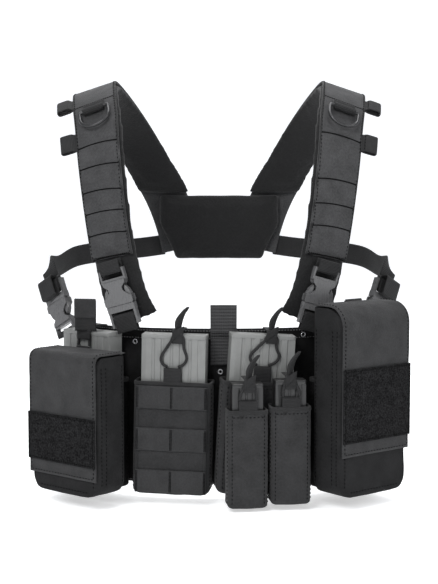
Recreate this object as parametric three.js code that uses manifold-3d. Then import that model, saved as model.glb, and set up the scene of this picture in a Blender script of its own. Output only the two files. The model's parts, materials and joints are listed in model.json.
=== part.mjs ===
// Chest harness vest with two padded shoulder straps, a curved chest panel and a row of pouches.
// Millimetres, +Z up, the wearer faces -Y. The origin is on the wearer's axis, level with the
// tops of the shoulders. "right" and "left" in the names are the wearer's, right is -X.
import * as THREE from 'three';
import Module from 'manifold-3d';
import { mergeVertices } from 'three/addons/utils/BufferGeometryUtils.js';

const wasm = await Module();
wasm.setup();

// the wearer's chest, that the panel and the yoke lie on
const torsoHalfWidth = 162;
const torsoHalfDepth = 112;
const torsoRoundness = 2.3;

// general fits
const gap = 0.4; // between pieces that lie on each other
const slide = 1.0; // between a magazine and the walls of its pouch
const webbingThickness = 1.6;
const webbingWidth = 25;

// chest panel
const panelTop = -268;
const panelHeight = 174;
const panelThickness = 6;
const panelArc = 366;

// shoulder straps
const padWidth = 58;
const padThickness = 11;
const padTaper = 42; // the pad thins towards the seam at the panel over this length
const padEndShare = 0.45;
const coverWidth = 52;
const coverThickness = 2.6;
const cellBulge = 1.6;
const coverEndHeight = -190; // where the cover stops above the buckle
const yokeTop = -122;
const yokeHeight = 84;
const yokeArc = 150;

// D-rings and side loops on the shoulder straps
const ringWidth = 38;
const ringHeight = 30;
const ringBar = 4;
const ringHeightOnStrap = -38;
const keeperHeight = 12;
const loopReach = 17;
const loopWidth = 21;
const loopThickness = 7.6;
const loopWall = 1.4;
const loopHeights = [-24, -63];

// side-release buckles
const buckleWidth = 34;
const buckleThickness = 10;
const buckleWall = 1.7;
const buckleMouth = 22; // height of the female half below its neck
const neckHeight = 5;
const frameHeight = 13;
const maleBlock = 7;
const railLength = 17;
const armLength = 21;
const buckleClear = 0.4;
const shoulderBuckleHeight = -229;
const stripLength = 7; // webbing that runs on below the ladder bar
const sideStripLength = 5;
const tailLength = 25;

// magazine pouches
const magWidth = 70;
const magSlack = 3; // room on each side of a magazine, past its slide
const magDepth = 23;
const magTop = -272;
const ribDepth = 0.9;
const ribCount = 6;
const pouchWall = 3;
const pouchMouth = -323;
const pouchBottom = -447;
const stackGap = 5; // between the two inner pouches
const outerOverlap = 1.5; // the outer pouches turn away, so they stand this much closer
const tongueWidth = 19;
const cordSize = 3.2;
const retainerClear = 5;
const hingeClear = 1.2; // under a retainer's feet, above the tongue that they turn on

// webbing rows on the front of the second pouch
const rowCount = 3;
const rowWidth = 78;
const rowPitch = 46;
const rowTopMargin = 4;

// pistol magazine pouches, in front of the third pouch
const pistolMagWidth = 33;
const pistolMagSlack = 1.6; // room on each side of a pistol magazine, past its slide
const pistolMagDepth = 19;
const pistolMagTop = -319;
const pistolMagHeight = 122;
const pistolMouth = -347;
const pistolBottom = -453;
const pistolGap = 3.5; // between the two pistol pouches

// flap pouches, in front of the outer pouches
const flapPouchWidth = 101;
const flapPouchDepth = 45;
const flapWall = 2.4;
const flapThickness = 2.4;
const flapShift = 18; // towards the middle, off the pouch behind
const flapPouchBottom = -444;
const flapTops = { right: -292, left: -240 };
const flapEnds = { right: -424, left: -398 };
const bandTops = { right: -357, left: -304 };
const bandHeights = { right: 52, left: 79 };
const flapRounds = { right: 7, left: 20 };

// centre tab
const tabWidth = 29;
const tabRise = 27;

const black = new THREE.MeshStandardMaterial({ color: 0x26272a, roughness: 0.95 });
const webbing = new THREE.MeshStandardMaterial({ color: 0x34353a, roughness: 0.9 });
const padding = new THREE.MeshStandardMaterial({ color: 0x17181b, roughness: 1 });
const plastic = new THREE.MeshStandardMaterial({ color: 0x3a3b3d, roughness: 0.45 });
const greyPolymer = new THREE.MeshStandardMaterial({ color: 0x6a6c6e, roughness: 0.6 });
const blackPolymer = new THREE.MeshStandardMaterial({ color: 0x1a1b1e, roughness: 0.5 });
const darkSteel = new THREE.MeshStandardMaterial({ color: 0x2a2b2d, roughness: 0.35, metalness: 0.9 });

const vest = new THREE.Group();

function toSolid(geometry) {
  const bare = geometry.index ? geometry.clone() : geometry.clone();
  bare.deleteAttribute('normal');
  bare.deleteAttribute('uv');
  const merged = mergeVertices(bare, 1e-4);
  const mesh = new wasm.Mesh({
    numProp: 3,
    vertProperties: new Float32Array(merged.attributes.position.array),
    triVerts: new Uint32Array(merged.index.array),
  });
  return new wasm.Manifold(mesh);
}

function toGeometry(solid) {
  const mesh = solid.getMesh();
  const geometry = new THREE.BufferGeometry();
  geometry.setAttribute('position', new THREE.BufferAttribute(mesh.vertProperties, 3));
  geometry.setIndex(new THREE.BufferAttribute(mesh.triVerts, 1));
  const flat = geometry.toNonIndexed();
  flat.computeVertexNormals();
  return flat;
}

function join(...geometries) {
  return toGeometry(geometries.map(toSolid).reduce((a, b) => a.add(b)));
}

function cut(geometry, ...tools) {
  return toGeometry(tools.map(toSolid).reduce((a, b) => a.subtract(b), toSolid(geometry)));
}

function block(x0, x1, y0, y1, z0, z1, across = 1, deep = 1, up = 1) {
  const geometry = new THREE.BoxGeometry(x1 - x0, y1 - y0, z1 - z0, across, deep, up);
  geometry.translate((x0 + x1) / 2, (y0 + y1) / 2, (z0 + z1) / 2);
  return geometry;
}

// an outline in x and z, y0 to y1 thick
function plate(outline, y0, y1, bevel = 0) {
  const shape = outline instanceof THREE.Shape ? outline : new THREE.Shape(outline);
  const geometry = new THREE.ExtrudeGeometry(shape, {
    depth: y1 - y0 - 2 * bevel,
    bevelEnabled: bevel > 0,
    bevelThickness: bevel,
    bevelSize: bevel,
    bevelOffset: -bevel,
    bevelSegments: 1,
    curveSegments: 5,
  });
  geometry.rotateX(Math.PI / 2);
  geometry.translate(0, y1 - bevel, 0);
  return geometry;
}

// an outline in x and y, z0 to z1 tall
function column(shape, z0, z1) {
  const geometry = new THREE.ExtrudeGeometry(shape, {
    depth: z1 - z0,
    bevelEnabled: false,
    curveSegments: 3,
  });
  geometry.translate(0, 0, z0);
  return geometry;
}

function roundRect(x0, x1, y0, y1, r) {
  const shape = new THREE.Shape();
  shape.moveTo(x0 + r, y0);
  shape.lineTo(x1 - r, y0);
  shape.absarc(x1 - r, y0 + r, r, -Math.PI / 2, 0);
  shape.lineTo(x1, y1 - r);
  shape.absarc(x1 - r, y1 - r, r, 0, Math.PI / 2);
  shape.lineTo(x0 + r, y1);
  shape.absarc(x0 + r, y1 - r, r, Math.PI / 2, Math.PI);
  shape.lineTo(x0, y0 + r);
  shape.absarc(x0 + r, y0 + r, r, Math.PI, 1.5 * Math.PI);
  return shape;
}

function v2(...pairs) {
  return pairs.map(([x, y]) => new THREE.Vector2(x, y));
}

// the torso's outline at one height: the point and the outward normal at x
function torsoAt(x, back = false) {
  const n = torsoRoundness;
  const share = Math.min(Math.abs(x) / torsoHalfWidth, 0.9999);
  const y = torsoHalfDepth * (1 - share ** n) ** (1 / n);
  const nx = Math.sign(x) * (Math.abs(x) ** (n - 1) / torsoHalfWidth ** n);
  const ny = y ** (n - 1) / torsoHalfDepth ** n;
  const normal = new THREE.Vector3(nx, back ? ny : -ny, 0).normalize();
  return { point: new THREE.Vector3(x, back ? y : -y, 0), normal };
}

// points of the torso's outline at even arc lengths from the middle
function torsoArc(arc, back = false) {
  let length = 0;
  let x = 0;
  const step = 0.25;
  let before = torsoAt(0, back).point;
  while (length < Math.abs(arc) && x < torsoHalfWidth - 0.5) {
    x += step;
    const here = torsoAt(x, back).point;
    length += here.distanceTo(before);
    before = here;
  }
  return torsoAt(Math.sign(arc) * x, back);
}

// wraps a flat piece, x along the arc and -y outwards, round the torso
function wrapTorso(geometry, back = false) {
  const position = geometry.attributes.position;
  for (let i = 0; i < position.count; i += 1) {
    const at = torsoArc(position.getX(i), back);
    const out = at.normal.clone().multiplyScalar(-position.getY(i));
    const p = at.point.clone().add(out);
    position.setXYZ(i, p.x, p.y, position.getZ(i));
  }
  return geometry;
}

// a path for a strap: its inner face's middle line, and its outward direction
class StrapPath {
  constructor(points, normals) {
    this.curve = new THREE.CatmullRomCurve3(points.map((p) => new THREE.Vector3(...p)), false, 'centripetal');
    this.normals = normals.map((n) => new THREE.Vector3(...n).normalize());
    this.curve.arcLengthDivisions = 400;
    this.length = this.curve.getLength();
  }

  frame(s) {
    const u = THREE.MathUtils.clamp(s / this.length, 0, 1);
    const t = this.curve.getUtoTmapping(u);
    const origin = this.curve.getPoint(t);
    const along = this.curve.getTangent(t);
    const place = t * (this.normals.length - 1);
    const k = Math.min(Math.floor(place), this.normals.length - 2);
    const out = this.normals[k].clone().lerp(this.normals[k + 1], place - k);
    out.addScaledVector(along, -out.dot(along)).normalize();
    const across = new THREE.Vector3().crossVectors(out.clone().negate(), along);
    return { origin, along, out, across };
  }

  // the arc length where the path first passes a height, from its start or from its end
  lengthAt(z, fromEnd = false) {
    const steps = 2000;
    for (let i = 0; i <= steps; i += 1) {
      const s = (fromEnd ? 1 - i / steps : i / steps) * this.length;
      if (this.frame(s).origin.z >= z) {
        return s;
      }
    }
    return this.length;
  }

  // bends a flat piece: x across, -y outwards, z the arc length
  bend(geometry) {
    const position = geometry.attributes.position;
    for (let i = 0; i < position.count; i += 1) {
      const f = this.frame(position.getZ(i));
      const p = f.origin.clone().addScaledVector(f.across, position.getX(i));
      p.addScaledVector(f.out, -position.getY(i));
      position.setXYZ(i, p.x, p.y, p.z);
    }
    return geometry;
  }

  // a rigid frame at an arc length, with its outward axis lifted off the path
  matrix(s, lift = 0) {
    const f = this.frame(s);
    const origin = f.origin.clone().addScaledVector(f.out, lift);
    return new THREE.Matrix4().makeBasis(f.across, f.out.clone().negate(), f.along).setPosition(origin);
  }
}

function add(name, geometry, material, matrix = null) {
  const mesh = new THREE.Mesh(geometry, material);
  mesh.name = name;
  if (matrix) {
    mesh.applyMatrix4(matrix);
  }
  vest.add(mesh);
  return mesh;
}

// ---------------------------------------------------------------- chest panel and yoke
const panel = block(-panelArc / 2, panelArc / 2, -panelThickness, 0, panelTop - panelHeight, panelTop, 44);
add('chest_panel', wrapTorso(panel), black);

const yokeShape = v2(
  [-yokeArc / 2, yokeTop],
  [-yokeArc / 2, yokeTop - yokeHeight * 0.45],
  [-yokeArc * 0.36, yokeTop - yokeHeight],
  [yokeArc * 0.36, yokeTop - yokeHeight],
  [yokeArc / 2, yokeTop - yokeHeight * 0.45],
  [yokeArc / 2, yokeTop],
);
// the yoke is cut from a finely divided slab, so that it bends smoothly
const yokeSlab = block(-yokeArc / 2, yokeArc / 2, -padThickness, 0, yokeTop - yokeHeight, yokeTop, 16);
const yokeFlat = toGeometry(toSolid(yokeSlab).intersect(toSolid(plate(yokeShape, -padThickness - 1, 1))));
// at the back the outward side is +Y, so the flat piece is turned before it is wrapped
const yoke = wrapTorso(yokeFlat, true);
function turnFaces(geometry) {
  const flat = geometry.index ? geometry.toNonIndexed() : geometry;
  const p = flat.attributes.position;
  for (let i = 0; i < p.count; i += 3) {
    const b = [p.getX(i + 1), p.getY(i + 1), p.getZ(i + 1)];
    p.setXYZ(i + 1, p.getX(i + 2), p.getY(i + 2), p.getZ(i + 2));
    p.setXYZ(i + 2, ...b);
  }
  flat.computeVertexNormals();
  return flat;
}
add('back_yoke', turnFaces(yoke), padding);

// ---------------------------------------------------------------- shoulder straps
// over the shoulder from the panel to the yoke: x and y as shares of the chest's half sizes
function strapPath(side) {
  const points = [
    [0.556, -0.888, panelTop + 6], [0.623, -0.879, panelTop + 33], [0.691, -0.866, panelTop + 78],
    [0.741, -0.848, panelTop + 126], [0.784, -0.795, -88], [0.815, -0.643, -50], [0.852, -0.357, -22],
    [0.864, 0, -11], [0.784, 0.411, -26], [0.654, 0.714, -56], [0.519, 0.888, yokeTop + 30],
    [0.395, 0.955, yokeTop - 6], [0.321, 0.972, yokeTop - 40], [0.272, 0.98, yokeTop - 74],
  ];
  const normals = [
    [0.32, -0.94, 0], [0.36, -0.93, 0], [0.42, -0.9, 0.02], [0.42, -0.9, 0.08],
    [0.38, -0.86, 0.3], [0.34, -0.62, 0.66], [0.32, -0.2, 0.92], [0.3, 0.12, 0.95],
    [0.26, 0.5, 0.8], [0.24, 0.78, 0.56], [0.22, 0.92, 0.3], [0.2, 0.97, 0.05],
    [0.15, 0.98, 0], [0.12, 0.99, 0],
  ];
  return new StrapPath(
    points.map(([x, y, z]) => [side * x * torsoHalfWidth, y * torsoHalfDepth, z]),
    normals.map(([x, y, z]) => [side * x, y, z]),
  );
}

// a row of sewn cells: the cover stands off between its seams
function coverBulge(s, seams) {
  for (let i = 0; i + 1 < seams.length; i += 1) {
    if (s >= seams[i] && s <= seams[i + 1]) {
      const share = (s - seams[i]) / (seams[i + 1] - seams[i]);
      return Math.sin(Math.PI * share) ** 0.5;
    }
  }
  return 0;
}

const cellSeams = {
  right: [-190, -165, -141, -118, -93, -71],
  left: [-190, -158, -134, -108, -64],
};

const ringFrames = {};
const buckleFrames = {};

function makeStrap(name, side) {
  const path = strapPath(side);
  const outer = side; // across is +X in front, so the outer edge is on this side
  const yokeEdge = path.lengthAt(yokeTop, true);
  const padLength = Math.min(yokeEdge + 12, path.length);
  const pad = block(-padWidth / 2, padWidth / 2, -padThickness, 0, -2, padLength, 4, 2, 40);
  const rim = pad.attributes.position;
  for (let i = 0; i < rim.count; i += 1) {
    const edge = Math.abs(rim.getX(i)) / (padWidth / 2);
    const thin = THREE.MathUtils.lerp(padEndShare, 1, Math.min(Math.max(rim.getZ(i), 0) / padTaper, 1));
    rim.setY(i, rim.getY(i) * thin);
    const middle = (-padThickness / 2) * thin;
    rim.setY(i, middle + (rim.getY(i) - middle) * (edge > 0.9 ? 0.62 : 1));
  }
  path.bend(pad);
  // level cuts, where the pad meets the panel in front and the yoke behind
  const below = block(-400, 400, -300, 0, -500, panelTop + gap);
  const behind = block(-400, 400, 60, 300, -500, yokeTop + gap);
  add(`shoulder_pad_${name}`, cut(pad, below, behind), padding);

  const coverStart = path.lengthAt(coverEndHeight);
  const coverEnd = path.length - 4;
  const seams = cellSeams[name].map((z) => path.lengthAt(z));
  const rows = 84;
  const lift = padThickness + gap;
  const cover = block(
    -coverWidth / 2, coverWidth / 2, -lift - coverThickness, -lift, coverStart, coverEnd, 2, 1, rows,
  );
  const skin = cover.attributes.position;
  for (let i = 0; i < skin.count; i += 1) {
    const outside = skin.getY(i) < -lift - coverThickness / 2;
    const bulge = outside ? cellBulge * coverBulge(skin.getZ(i), seams) : 0;
    const edge = Math.abs(skin.getX(i)) > coverWidth / 2 - 0.1 ? 0.35 : 1;
    skin.setY(i, skin.getY(i) - bulge * edge);
  }
  add(`shoulder_cover_${name}`, path.bend(cover), webbing);

  // D-ring: the bar runs through the keeper's roll, the ring lies down the strap
  const ringAt = path.lengthAt(ringHeightOnStrap);
  const coverTop = lift + coverThickness;
  const barLift = coverTop + gap + webbingThickness + ringBar / 2 + 0.6;
  const ringMatrix = path.matrix(ringAt, barLift);
  ringFrames[name] = ringMatrix;
  const half = ringWidth / 2;
  const drop = ringHeight - ringBar / 2;
  const ring = new THREE.Shape();
  ring.moveTo(-half, ringBar / 2);
  ring.lineTo(half, ringBar / 2);
  ring.lineTo(half, -drop * 0.35);
  ring.bezierCurveTo(half, -drop * 0.9, half * 0.55, -drop, 0, -drop);
  ring.bezierCurveTo(-half * 0.55, -drop, -half, -drop * 0.9, -half, -drop * 0.35);
  ring.lineTo(-half, ringBar / 2);
  const inner = half - ringBar;
  const innerDrop = drop - ringBar;
  const hole = new THREE.Path();
  hole.moveTo(-inner, -ringBar / 2);
  hole.lineTo(-inner, -drop * 0.35);
  hole.bezierCurveTo(-inner, -innerDrop * 0.92, -inner * 0.55, -innerDrop, 0, -innerDrop);
  hole.bezierCurveTo(inner * 0.55, -innerDrop, inner, -innerDrop * 0.92, inner, -drop * 0.35);
  hole.lineTo(inner, -ringBar / 2);
  hole.lineTo(-inner, -ringBar / 2);
  ring.holes.push(hole);
  add(`d_ring_${name}`, plate(ring, -ringBar / 2, ringBar / 2, 0.8), darkSteel, ringMatrix);

  // keeper: a flat tail sewn up the strap, rolled round the ring's bar
  const keeperHalf = webbingWidth / 2;
  const roll = ringBar / 2 + 0.6 + webbingThickness;
  const rollShape = new THREE.Shape();
  rollShape.absarc(0, 0, roll, 0, 2 * Math.PI);
  const rollBody = new THREE.ExtrudeGeometry(rollShape, {
    depth: webbingWidth, bevelEnabled: false, curveSegments: 7,
  });
  rollBody.rotateY(Math.PI / 2);
  rollBody.translate(-keeperHalf, 0, 0);
  const bore = new THREE.CylinderGeometry(roll - webbingThickness, roll - webbingThickness, 60, 12);
  bore.rotateZ(Math.PI / 2);
  bore.rotateX(Math.PI / 12);
  const tail = block(-keeperHalf, keeperHalf, roll - 2 * webbingThickness, roll, 0, keeperHeight);
  add(`d_ring_keeper_${name}`, cut(join(rollBody, tail), bore), webbing, ringMatrix);

  // side loops: webbing folded over the strap's outer edge, sewn on a strip under the cover
  for (const [index, height] of loopHeights.entries()) {
    const s = path.lengthAt(height);
    const inside = coverWidth / 2 + gap + 1;
    const loopMatrix = path.matrix(s, padThickness + gap + loopThickness / 2 - 1.2);
    const x0 = Math.min(outer * inside, outer * (inside + loopReach));
    const x1 = Math.max(outer * inside, outer * (inside + loopReach));
    const bodyShape = roundRect(x0, x1, -loopThickness / 2, loopThickness / 2, 2.6);
    const holeShape = roundRect(
      x0 + loopWall, x1 - loopWall, -loopThickness / 2 + loopWall, loopThickness / 2 - loopWall, 1.4,
    );
    const body = column(bodyShape, -loopWidth / 2, loopWidth / 2);
    const through = column(holeShape, -loopWidth, loopWidth);
    add(`side_loop_${name}_${index + 1}`, cut(body, through), webbing, loopMatrix);
  }
  return { path, coverStart };
}

// ---------------------------------------------------------------- side-release buckle
// x across, -y outwards, z up the strap, origin between the two halves
function makeBuckle(name, matrix, movingArms, run) {
  const w = buckleWidth / 2;
  const t = buckleThickness / 2;
  const inner = t - buckleWall;
  const top = buckleMouth + neckHeight + frameHeight;
  const shellShape = v2(
    [-w + 1, 0], [w - 1, 0], [w, 2], [w, 8], [w - 5, 11], [w - 8.5, 15], [w - 8.5, 19],
    [w - 4, buckleMouth + 1], [w - 3, buckleMouth + neckHeight],
    [-w + 3, buckleMouth + neckHeight], [-w + 4, buckleMouth + 1],
    [-w + 8.5, 19], [-w + 8.5, 15], [-w + 5, 11], [-w, 8], [-w, 2],
  );
  const front = plate(shellShape, -t, -inner);
  const rear = plate(shellShape, inner, t);
  const neck = block(-w + 4.5, w - 4.5, -inner - 0.5, inner + 0.5, buckleMouth, buckleMouth + neckHeight);
  const frameOuter = block(-w + 2, w - 2, -t * 0.6, t * 0.6, buckleMouth + neckHeight - 1, top);
  const slot = block(-w + 4, w - 4, -t, t, buckleMouth + neckHeight + 3, top - 3.6);
  const female = join(front, rear, neck, cut(frameOuter, slot));
  add(`${name}_female`, female, plastic, matrix);

  const body = block(-w + 0.5, w - 0.5, -t + 1, t - 1, -maleBlock - buckleClear, -buckleClear);
  const prong = block(-3.4, 3.4, -inner + buckleClear + 0.3, inner - buckleClear - 0.3, -2, buckleMouth - 5);
  const railTop = -maleBlock - buckleClear + 0.5;
  const rails = [-1, 1].map((k) => {
    const a = k * (w - 0.5);
    const b = k * (w - 3.3);
    return block(Math.min(a, b), Math.max(a, b), -t + 1.8, t - 1.8, railTop - railLength, railTop);
  });
  const barTop = railTop - 5;
  const bar = block(-w + 3, w - 3, -1.5, 1.5, barTop - 3, barTop);
  const endBar = block(-w + 3, w - 3, -1.5, 1.5, railTop - railLength, railTop - railLength + 3);
  const armReach = inner - buckleClear;
  const armShape = (k) => v2(
    [k * 9.6, 0], [k * 14.2, 0], [k * 14.8, 6], [k * 16.4, 10], [k * 14.6, 15.5], [k * 11.2, armLength - 1],
    [k * 10, armLength - 4], [k * 10.2, 8],
  );
  const order = (points, k) => (k > 0 ? points : points.reverse());
  const arms = [-1, 1].map((k) => plate(order(armShape(k), k), -armReach, armReach));
  if (movingArms) {
    add(`${name}_male`, join(body, prong, ...rails, bar, endBar), plastic, matrix);
    add(`${name}_arm_1`, arms[0], plastic, matrix);
    add(`${name}_arm_2`, arms[1], plastic, matrix);
  } else {
    const sunk = arms.map((arm) => arm.translate(0, 0, -1));
    add(`${name}_male`, join(body, prong, ...rails, bar, endBar, ...sunk), plastic, matrix);
  }

  // webbing folded round the ladder bar, both layers running down past the end bar
  const half = webbingWidth / 2;
  const layer = 1.4;
  const y = 1.5 + gap;
  const low = railTop - railLength - run;
  const foldTop = barTop + gap + layer;
  const outside = block(-half, half, -y - layer, y + layer, low, foldTop);
  const within = block(-half - 1, half + 1, -y, y, low + 1.5, barTop + gap);
  let strip = cut(outside, within);
  if (!movingArms) {
    // the spare end is folded back on itself outside the buckle
    const yo = -y - layer - 1.1;
    const fold = block(-half, half, yo - 9, yo, low, low + tailLength);
    const inFold = block(-half - 1, half + 1, yo - 7.4, yo - 1.6, low + 1.6, low + tailLength - 2);
    const bridge = block(-half, half, yo - 1, -y - 0.2, low, low + 1.6);
    strip = join(strip, cut(fold, inFold), bridge);
  }
  add(`${name}_strip`, strip, webbing, matrix);
  return { top, barTop, low };
}

// webbing looped through the female half's frame
function frameLoop(name, matrix, length) {
  const half = webbingWidth / 2;
  const barTop = buckleMouth + neckHeight + frameHeight;
  const layer = 1.4;
  const y = buckleThickness * 0.3 + gap;
  const low = barTop - 3.6 - gap - layer;
  const outside = block(-half, half, -y - layer, y + layer, low, barTop + length);
  const within = block(-half - 1, half + 1, -y, y, low + layer, barTop + length - 1.5);
  add(name, cut(outside, within), webbing, matrix);
}

for (const [name, side] of [['right', -1], ['left', 1]]) {
  const { path, coverStart } = makeStrap(name, side);
  const s = path.lengthAt(shoulderBuckleHeight);
  // clear of the cover's cells, over which the upper half slides when it is undone
  const lift = padThickness + 2 * gap + coverThickness + cellBulge + buckleThickness / 2;
  const shift = new THREE.Matrix4().makeTranslation(0, 0, -buckleMouth / 2);
  const matrix = path.matrix(s, lift).multiply(shift);
  buckleFrames[`shoulder_buckle_${name}`] = matrix;
  makeBuckle(`shoulder_buckle_${name}`, matrix, true, stripLength);
  const frameTop = s + buckleMouth / 2 + neckHeight + frameHeight;
  frameLoop(`shoulder_loop_${name}`, matrix, coverStart - frameTop - 1.5);
}

// ---------------------------------------------------------------- pouches
// the frame of a stack of pouches: origin on the panel's face, -y outwards, x along the panel
function stackMatrix(x, lean = 0) {
  const at = torsoAt(x);
  const yaw = Math.atan2(at.normal.x, -at.normal.y);
  const origin = at.point.clone().addScaledVector(at.normal, panelThickness + gap);
  const turn = new THREE.Matrix4().makeRotationZ(yaw);
  const tilt = new THREE.Matrix4().makeTranslation(0, 0, panelTop);
  tilt.multiply(new THREE.Matrix4().makeRotationY(lean));
  tilt.multiply(new THREE.Matrix4().makeTranslation(0, 0, -panelTop));
  return new THREE.Matrix4().makeTranslation(origin.x, origin.y, 0).multiply(turn).multiply(tilt);
}

const magInnerWidth = magWidth + 2 * (slide + magSlack);
const magInnerDepth = magDepth + 2 * slide + 1.6;
const pouchDepth = magInnerDepth + 2 * pouchWall;
const pouchWidth = magInnerWidth + 2 * pouchWall;
const innerStack = (pouchWidth + stackGap) / 2; // sideways place of the two inner pouches on the chest
const outerStack = innerStack + pouchWidth - outerOverlap; // and of the two outer ones
const magBack = -pouchWall - slide - 0.8;
const magFront = magBack - magDepth;

function pouch(width, depth, wall, back, z0, z1, r) {
  const outside = column(roundRect(-width / 2, width / 2, back - depth, back, r), z0, z1);
  const inside = column(
    roundRect(-width / 2 + wall, width / 2 - wall, back - depth + wall, back - wall, Math.max(r - wall, 1)),
    z0 + wall, z1 + 5,
  );
  return cut(outside, inside);
}

// a magazine-shaped insert with upright ribs on its two broad faces
function ribbedBlock(width, depth, back, z0, z1, ribs, rib) {
  const outline = [];
  const half = width / 2;
  const flat = width * 0.86;
  const pitch = flat / ribs;
  outline.push([-half, back - rib], [-half, back - depth + rib]);
  for (let i = 0; i < ribs; i += 1) {
    const x = -flat / 2 + i * pitch;
    outline.push([x, back - depth], [x + pitch * 0.62, back - depth]);
    outline.push([x + pitch * 0.7, back - depth + rib], [x + pitch * 0.92, back - depth + rib]);
  }
  outline.push([half, back - depth + rib], [half, back - rib], [half - 2, back], [-half + 2, back]);
  return column(new THREE.Shape(v2(...outline)), z0, z1);
}

// retainer: an elastic cord in an upside-down V, a webbing band over the insert and a pull tab
function retainer(name, matrix, { foot, spread, lean, front, top, depth, tabStyle, tabTurn, tabShift }) {
  const half = cordSize / 2;
  const y0 = front - gap - cordSize;
  const y1 = front - gap;
  const apex = top - 3;
  const leg = (k) => plate(order2(v2(
    [k * (spread - half), foot], [k * (spread + half), foot],
    [k * (spread * 0.72 + half) + lean * 0.55, foot + (apex - foot) * 0.55],
    [lean + k * (half + 1), apex + 2], [lean - k, apex + 2],
    [k * (spread * 0.72 - half) + lean * 0.55, foot + (apex - foot) * 0.5],
  ), k), y0, y1, 0.5);
  const bandHalf = tabStyle === 'broad' ? 10 : 6;
  const over = top + retainerClear;
  const fall = y0 + 0.5 + webbingThickness;
  const drop = block(lean - bandHalf, lean + bandHalf, y0 + 0.5, fall, apex - 3, over + webbingThickness);
  const band = block(lean - bandHalf, lean + bandHalf, y0 + 0.5, front + depth, over, over + webbingThickness);
  const pieces = [leg(-1), leg(1), drop, band];
  if (tabStyle === 'broad') {
    const tab = block(-12, 12, -3, 0, top + 1, over + 31);
    tab.rotateZ(tabTurn);
    tab.translate(lean + tabShift, y0 + 1.6, 0);
    pieces.push(tab);
  } else {
    const rise = [
      [-3, -2], [3.4, -2], [3.2, 5], [5.6, 12], [9.6, 17.5], [12.6, 22], [12.4, 26], [9.4, 27.6],
      [5.6, 25], [1, 18.5], [-2.2, 11], [-3.2, 4],
    ];
    const finger = rise.map(([x, z]) => new THREE.Vector2(lean + x, over + z));
    pieces.push(plate(finger, y0 - 1, y0 + 11, 0.8));
  }
  return add(name, join(...pieces), webbing, matrix);
}

function order2(points, k) {
  return k > 0 ? points : points.reverse();
}

const broad = { tabStyle: 'broad', spread: 10, foot: -287 };
const stacks = [
  { name: 1, x: -outerStack, tilt: 0, lean: 1, tabTurn: 0.45, tabShift: 4, ...broad },
  { name: 2, x: -innerStack, tilt: 0.02, lean: 5, tabStyle: 'finger', spread: 13, foot: -306 },
  { name: 3, x: innerStack, tilt: 0.06, lean: 8, tabStyle: 'finger', spread: 14, foot: -304 },
  { name: 4, x: outerStack, tilt: 0, lean: -1, tabTurn: 0, tabShift: -4, ...broad },
];
const stackFrames = {};

for (const stack of stacks) {
  const matrix = stackMatrix(stack.x, stack.tilt);
  stackFrames[stack.name] = matrix;
  const body = pouch(pouchWidth, pouchDepth, pouchWall, 0, pouchBottom, pouchMouth, 5);
  // the tongue stands up from the front wall and holds the cord's two ends
  const tongue = block(
    -tongueWidth / 2, tongueWidth / 2, -pouchDepth, -pouchDepth + 2.2, pouchMouth - 6, stack.foot - hingeClear,
  );
  add(`mag_pouch_${stack.name}`, join(body, tongue), black, matrix);
  const insert = ribbedBlock(
    magWidth, magDepth, magBack, pouchBottom + pouchWall + gap, magTop, ribCount, ribDepth,
  );
  add(`magazine_${stack.name}`, insert, greyPolymer, matrix);
  retainer(`retainer_${stack.name}`, matrix, {
    ...stack,
    front: magFront,
    top: magTop,
    depth: magDepth + 2,
  });
}

// webbing rows, one sewn ladder of three straps on two edge strips and a middle strip
const rowThickness = 1.6;
const rowTop = pouchMouth - rowTopMargin;
const rows = [];
for (let i = 0; i < rowCount; i += 1) {
  const z = rowTop - i * rowPitch;
  rows.push(block(
    -rowWidth / 2, rowWidth / 2, -pouchDepth - 1.4 - rowThickness, -pouchDepth - 1.4, z - webbingWidth, z,
  ));
}
for (const x of [-rowWidth / 2 + 1.5, 0, rowWidth / 2 - 1.5]) {
  rows.push(block(
    x - 1.5, x + 1.5, -pouchDepth - 1.9, -pouchDepth - gap,
    rowTop - (rowCount - 1) * rowPitch - webbingWidth, rowTop,
  ));
}
add('molle_rows', join(...rows), webbing, stackFrames[2]);

// ---------------------------------------------------------------- pistol magazine pouches
const pistolWidth = pistolMagWidth + 2 * (slide + pistolMagSlack + flapWall);
const pistolSpacing = pistolWidth + pistolGap;
const pistolFrame = stackMatrix(innerStack + 0.5, 0);
const pistolBack = -pouchDepth - 2.2;
const pistolInnerDepth = pistolMagDepth + 2 * slide + 1;
const pistolDepth = pistolInnerDepth + 2 * flapWall;
for (const [index, side] of [[1, -1], [2, 1]]) {
  const shift = new THREE.Matrix4().makeTranslation((side * pistolSpacing) / 2, 0, side * 1.5);
  const matrix = pistolFrame.clone().multiply(shift);
  stackFrames[`p${index}`] = matrix;
  const body = pouch(pistolWidth, pistolDepth, flapWall, pistolBack, pistolBottom, pistolMouth, 4);
  const front = pistolBack - pistolDepth;
  const foot = pistolMagTop - 16;
  const tongue = block(-10, 10, front, front + 2.2, pistolMouth - 5, foot - hingeClear);
  add(`pistol_pouch_${index}`, join(body, tongue), black, matrix);
  const back = pistolBack - flapWall - slide - 0.5;
  const insert = ribbedBlock(
    pistolMagWidth, pistolMagDepth, back, pistolMagTop - pistolMagHeight, pistolMagTop, 4, 0.7,
  );
  add(`pistol_magazine_${index}`, insert, blackPolymer, matrix);
  retainer(`pistol_retainer_${index}`, matrix, {
    foot,
    spread: 10.5,
    lean: index === 1 ? 1.5 : -1,
    front: back - pistolMagDepth,
    top: pistolMagTop,
    depth: pistolMagDepth + 1,
    tabStyle: 'finger',
  });
}

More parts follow.
